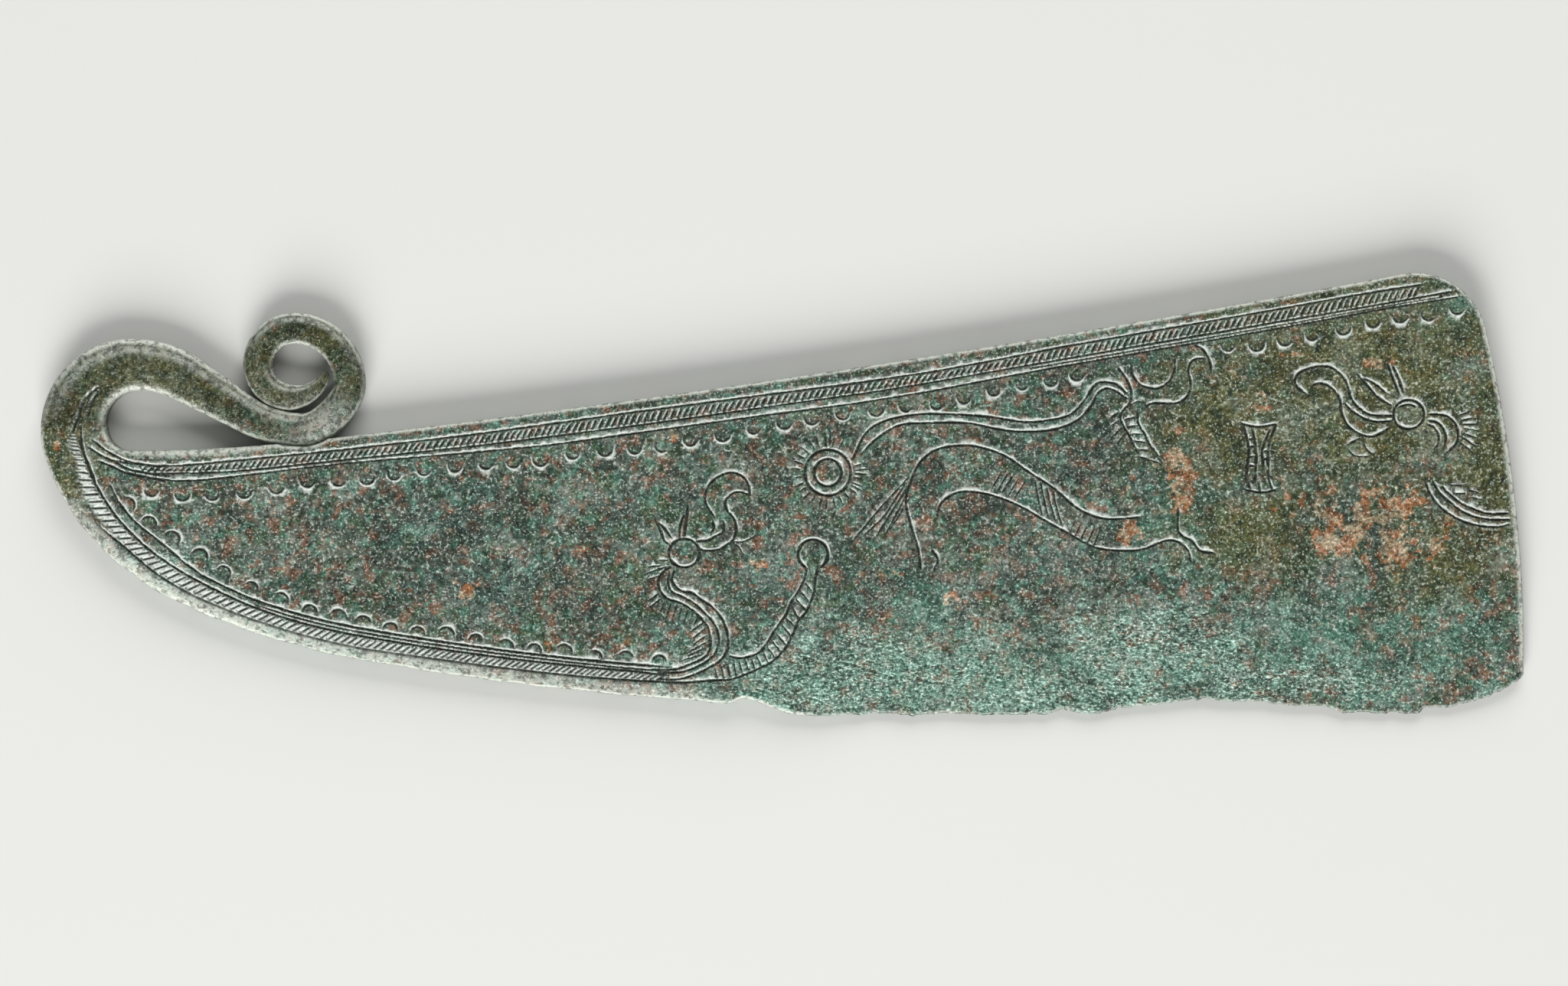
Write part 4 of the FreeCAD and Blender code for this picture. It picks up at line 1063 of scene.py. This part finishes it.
def patina(name, speckle, gloss, shade):
    """Bronze under a mottled green, brown and pale patina; rims and lips carry painted highlights, partly
    rubbed metal.

    Speckle is how strong the finest grain is, whose pale specks are painted glints, gloss the roughness,
    and shade a darker tone."""
    material = bpy.data.materials.new(name)
    material.use_nodes = True
    shader = material.node_tree.nodes["Principled BSDF"]
    kit = ShaderKit(material.node_tree)
    groove, lip, rim, deep = kit.channels("marks")
    olive, teal, rust, pale = kit.channels("zones")

    broad = kit.noise(0.2, 3, 0.5, 11)
    blotch = kit.noise(0.75, 4, 0.6, 23)
    warm = kit.noise(0.8, 5, 0.62, 29)
    cool = kit.noise(0.9, 5, 0.62, 43)
    moss = kit.noise(0.7, 5, 0.62, 59)
    depth = kit.noise(0.3, 3, 0.55, 83)
    mottle = kit.noise(2.3, 3, 0.6, 37)
    grain = kit.noise(5.0, 2, 0.6, 51)
    glint = kit.noise(4.2, 2, 0.6, 97, (0.8, 1.5, 1.0))
    streak = kit.noise(2.6, 4, 0.6, 71, (0.7, 1.6, 1.0))

    rusty_warm = kit.calc("ADD", kit.calc("MULTIPLY", rust, 0.21), warm)
    rusty_cool = kit.calc("ADD", kit.calc("MULTIPLY", rust, 0.21), cool)

    colour = kit.mix(kit.ramp(blotch, 0.4, 0.6), srgb(62, 74, 62), srgb(110, 114, 100))
    colour = kit.layered(colour, (
        (None, broad, (0.44, 0.6, 0, 0.6), srgb(80, 108, 98), "MIX"),
        (None, warm, (0.5, 0.6, 0, 0.85), srgb(134, 96, 72), "MIX"),
        (None, moss, (0.52, 0.6, 0, 0.8), srgb(60, 92, 60), "MIX"),
        (deep, blotch, (0.38, 0.6, 0.8, 0.3), srgb(50, 74, 67), "MIX"),
        (teal, warm, (0.36, 0.58, 0.8, 0.35), srgb(80, 133, 113), "MIX"),
        (None, cool, (0.53, 0.61, 0, 0.65), srgb(86, 138, 119), "MIX"),
        (olive, blotch, (0.3, 0.6, 0.65, 0.9), srgb(94, 94, 40), "MIX"),
        (olive, moss, (0.5, 0.58, 0, 0.8), srgb(44, 62, 36), "MIX"),
        (None, rusty_warm, (0.66, 0.72, 0, 0.9), srgb(166, 108, 64), "MIX"),
        (None, rusty_cool, (0.69, 0.75, 0, 0.8), srgb(186, 160, 126), "MIX"),
        (pale, streak, (0.44, 0.6, 0, 0.6), srgb(150, 192, 176), "MIX"),
        (None, depth, (0.5, 0.62, 0, 0.7), (0.5, 0.52, 0.5, 1), "MULTIPLY"),
        (None, depth, (0.48, 0.36, 0, 0.5), (0.12, 0.13, 0.12, 1), "ADD"),
        (None, mottle, (0.5, 0.36, 0, 0.9), (0.3, 0.34, 0.3, 1), "MULTIPLY"),
        (None, mottle, (0.53, 0.67, 0, 0.75), (0.2, 0.23, 0.2, 1), "ADD"),
        # Painted glints: the pale specks of these two layers and of the bright grain layer below
        (pale, glint, (0.55, 0.63, 0, 0.9), (0.42, 0.51, 0.45, 1), "ADD"),
        (pale, glint, (0.47, 0.37, 0, 0.8), (0.35, 0.42, 0.4, 1), "MULTIPLY"),
        (None, grain, (0.575, 0.66, 0, speckle), (0.5, 0.55, 0.5, 1), "ADD"),
        (None, grain, (0.47, 0.34, 0, speckle), (0.3, 0.34, 0.3, 1), "MULTIPLY")))
    if shade:
        colour = kit.mix(1.0, colour, (shade, shade, shade * 0.9, 1), "MULTIPLY")
    # Painted highlights: bright lips beside the grooves, and bright rims and bar shoulders, partly rubbed
    # metal
    colour = kit.layered(colour, (
        (groove, grain, (0.4, 0.62, 1.0, 0.8), srgb(26, 36, 24), "MIX"),
        (lip, mottle, (0.36, 0.5, 0.6, 1.0), srgb(240, 247, 238), "MIX"),
        (rim, mottle, (0.38, 0.52, 0.4, 1.0), srgb(232, 236, 224), "MIX")))
    kit.links.new(colour, shader.inputs["Base Color"])
    kit.links.new(kit.ramp(grain, 0.3, 0.7, gloss + 0.12, gloss - 0.12), shader.inputs["Roughness"])
    shader.inputs["Metallic"].default_value = 0.15
    shader.inputs["Specular IOR Level"].default_value = 0.35

    bump = kit.nodes.new("ShaderNodeBump")
    bump.inputs["Strength"].default_value = 0.9
    bump.inputs["Distance"].default_value = 0.00022
    kit.links.new(kit.calc("ADD", kit.calc("MULTIPLY", mottle, 0.9), kit.calc("MULTIPLY", grain, 0.5)),
              bump.inputs["Height"])
    kit.links.new(bump.outputs["Normal"], shader.inputs["Normal"])
    return material


PIECES = ((blade, "blade", "blade_bronze", 0.75, 0.5, None),
          (neck, "handle_neck", "handle_bronze", 0.55, 0.32, 0.62),
          (coil, "handle_coil", "coil_bronze", 0.55, 0.32, 0.62))
for piece, node, slot_name, speckle, gloss, shade in PIECES:
    piece.data.materials.append(patina(slot_name, speckle, gloss, shade))
    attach(piece, "root")
    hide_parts(node)


# The stage

def flat_colour(name, colour):
    material = bpy.data.materials.new(name)
    material.use_nodes = True
    shader = material.node_tree.nodes["Principled BSDF"]
    shader.inputs["Base Color"].default_value = colour
    shader.inputs["Roughness"].default_value = 0.9
    shader.inputs["Specular IOR Level"].default_value = 0.1
    return material


def make_floor():
    span = LENGTH * MM * 14
    mesh = bpy.data.meshes.new("floor")
    mesh.from_pydata([(-span, -span, 0), (span, -span, 0), (span, span, 0), (-span, span, 0)], [],
                     [(0, 1, 2, 3)])
    floor = bpy.data.objects.new("floor", mesh)
    floor.location.z = -0.00002
    bpy.context.scene.collection.objects.link(floor)
    mesh.materials.append(flat_colour("pale_floor", srgb(236, 236, 232)))


def lamp(name, azimuth, elevation, distance, size, watts):
    """A soft square lamp aimed at the razor's middle."""
    light = bpy.data.lights.new(name, "AREA")
    light.size = size
    light.energy = watts
    lamp_object = bpy.data.objects.new(name, light)
    flat = unit(azimuth) * math.cos(math.radians(elevation)) * distance
    lamp_object.location = (flat[0], flat[1], math.sin(math.radians(elevation)) * distance)
    aim = Vector((0, 0, 0)) - lamp_object.location
    lamp_object.rotation_euler = aim.to_track_quat("-Z", "Y").to_euler()
    bpy.context.scene.collection.objects.link(lamp_object)


def studio():
    lamp("key", -100, 32, 0.9, 0.6, 9.2)
    lamp("back", 80, 30, 0.9, 0.7, 5.8)
    world = bpy.data.worlds.new("studio")
    world.use_nodes = True
    back = world.node_tree.nodes["Background"]
    back.inputs["Color"].default_value = (0.9, 0.92, 0.95, 1)
    back.inputs["Strength"].default_value = 0.16
    bpy.context.scene.world = world


PHOTO_WIDTH = 2048          # pixels across the photograph, and across the razor in it
RAZOR_WIDTH = 1942


def aim_camera():
    """Straight down, so that the frame spans what the photograph's does."""
    span = LENGTH * MM * PHOTO_WIDTH / RAZOR_WIDTH
    lens = bpy.data.cameras.new("camera")
    lens.lens = 110
    lens.sensor_width = 36
    lens.clip_start = 0.01
    camera = bpy.data.objects.new("camera", lens)
    distance = span * lens.lens / lens.sensor_width
    camera.location = (0.00006, 0.00015, THICK * MM + distance)
    bpy.context.scene.collection.objects.link(camera)
    bpy.context.scene.camera = camera


make_floor()
studio()
aim_camera()
bpy.context.scene.view_settings.view_transform = "Standard"
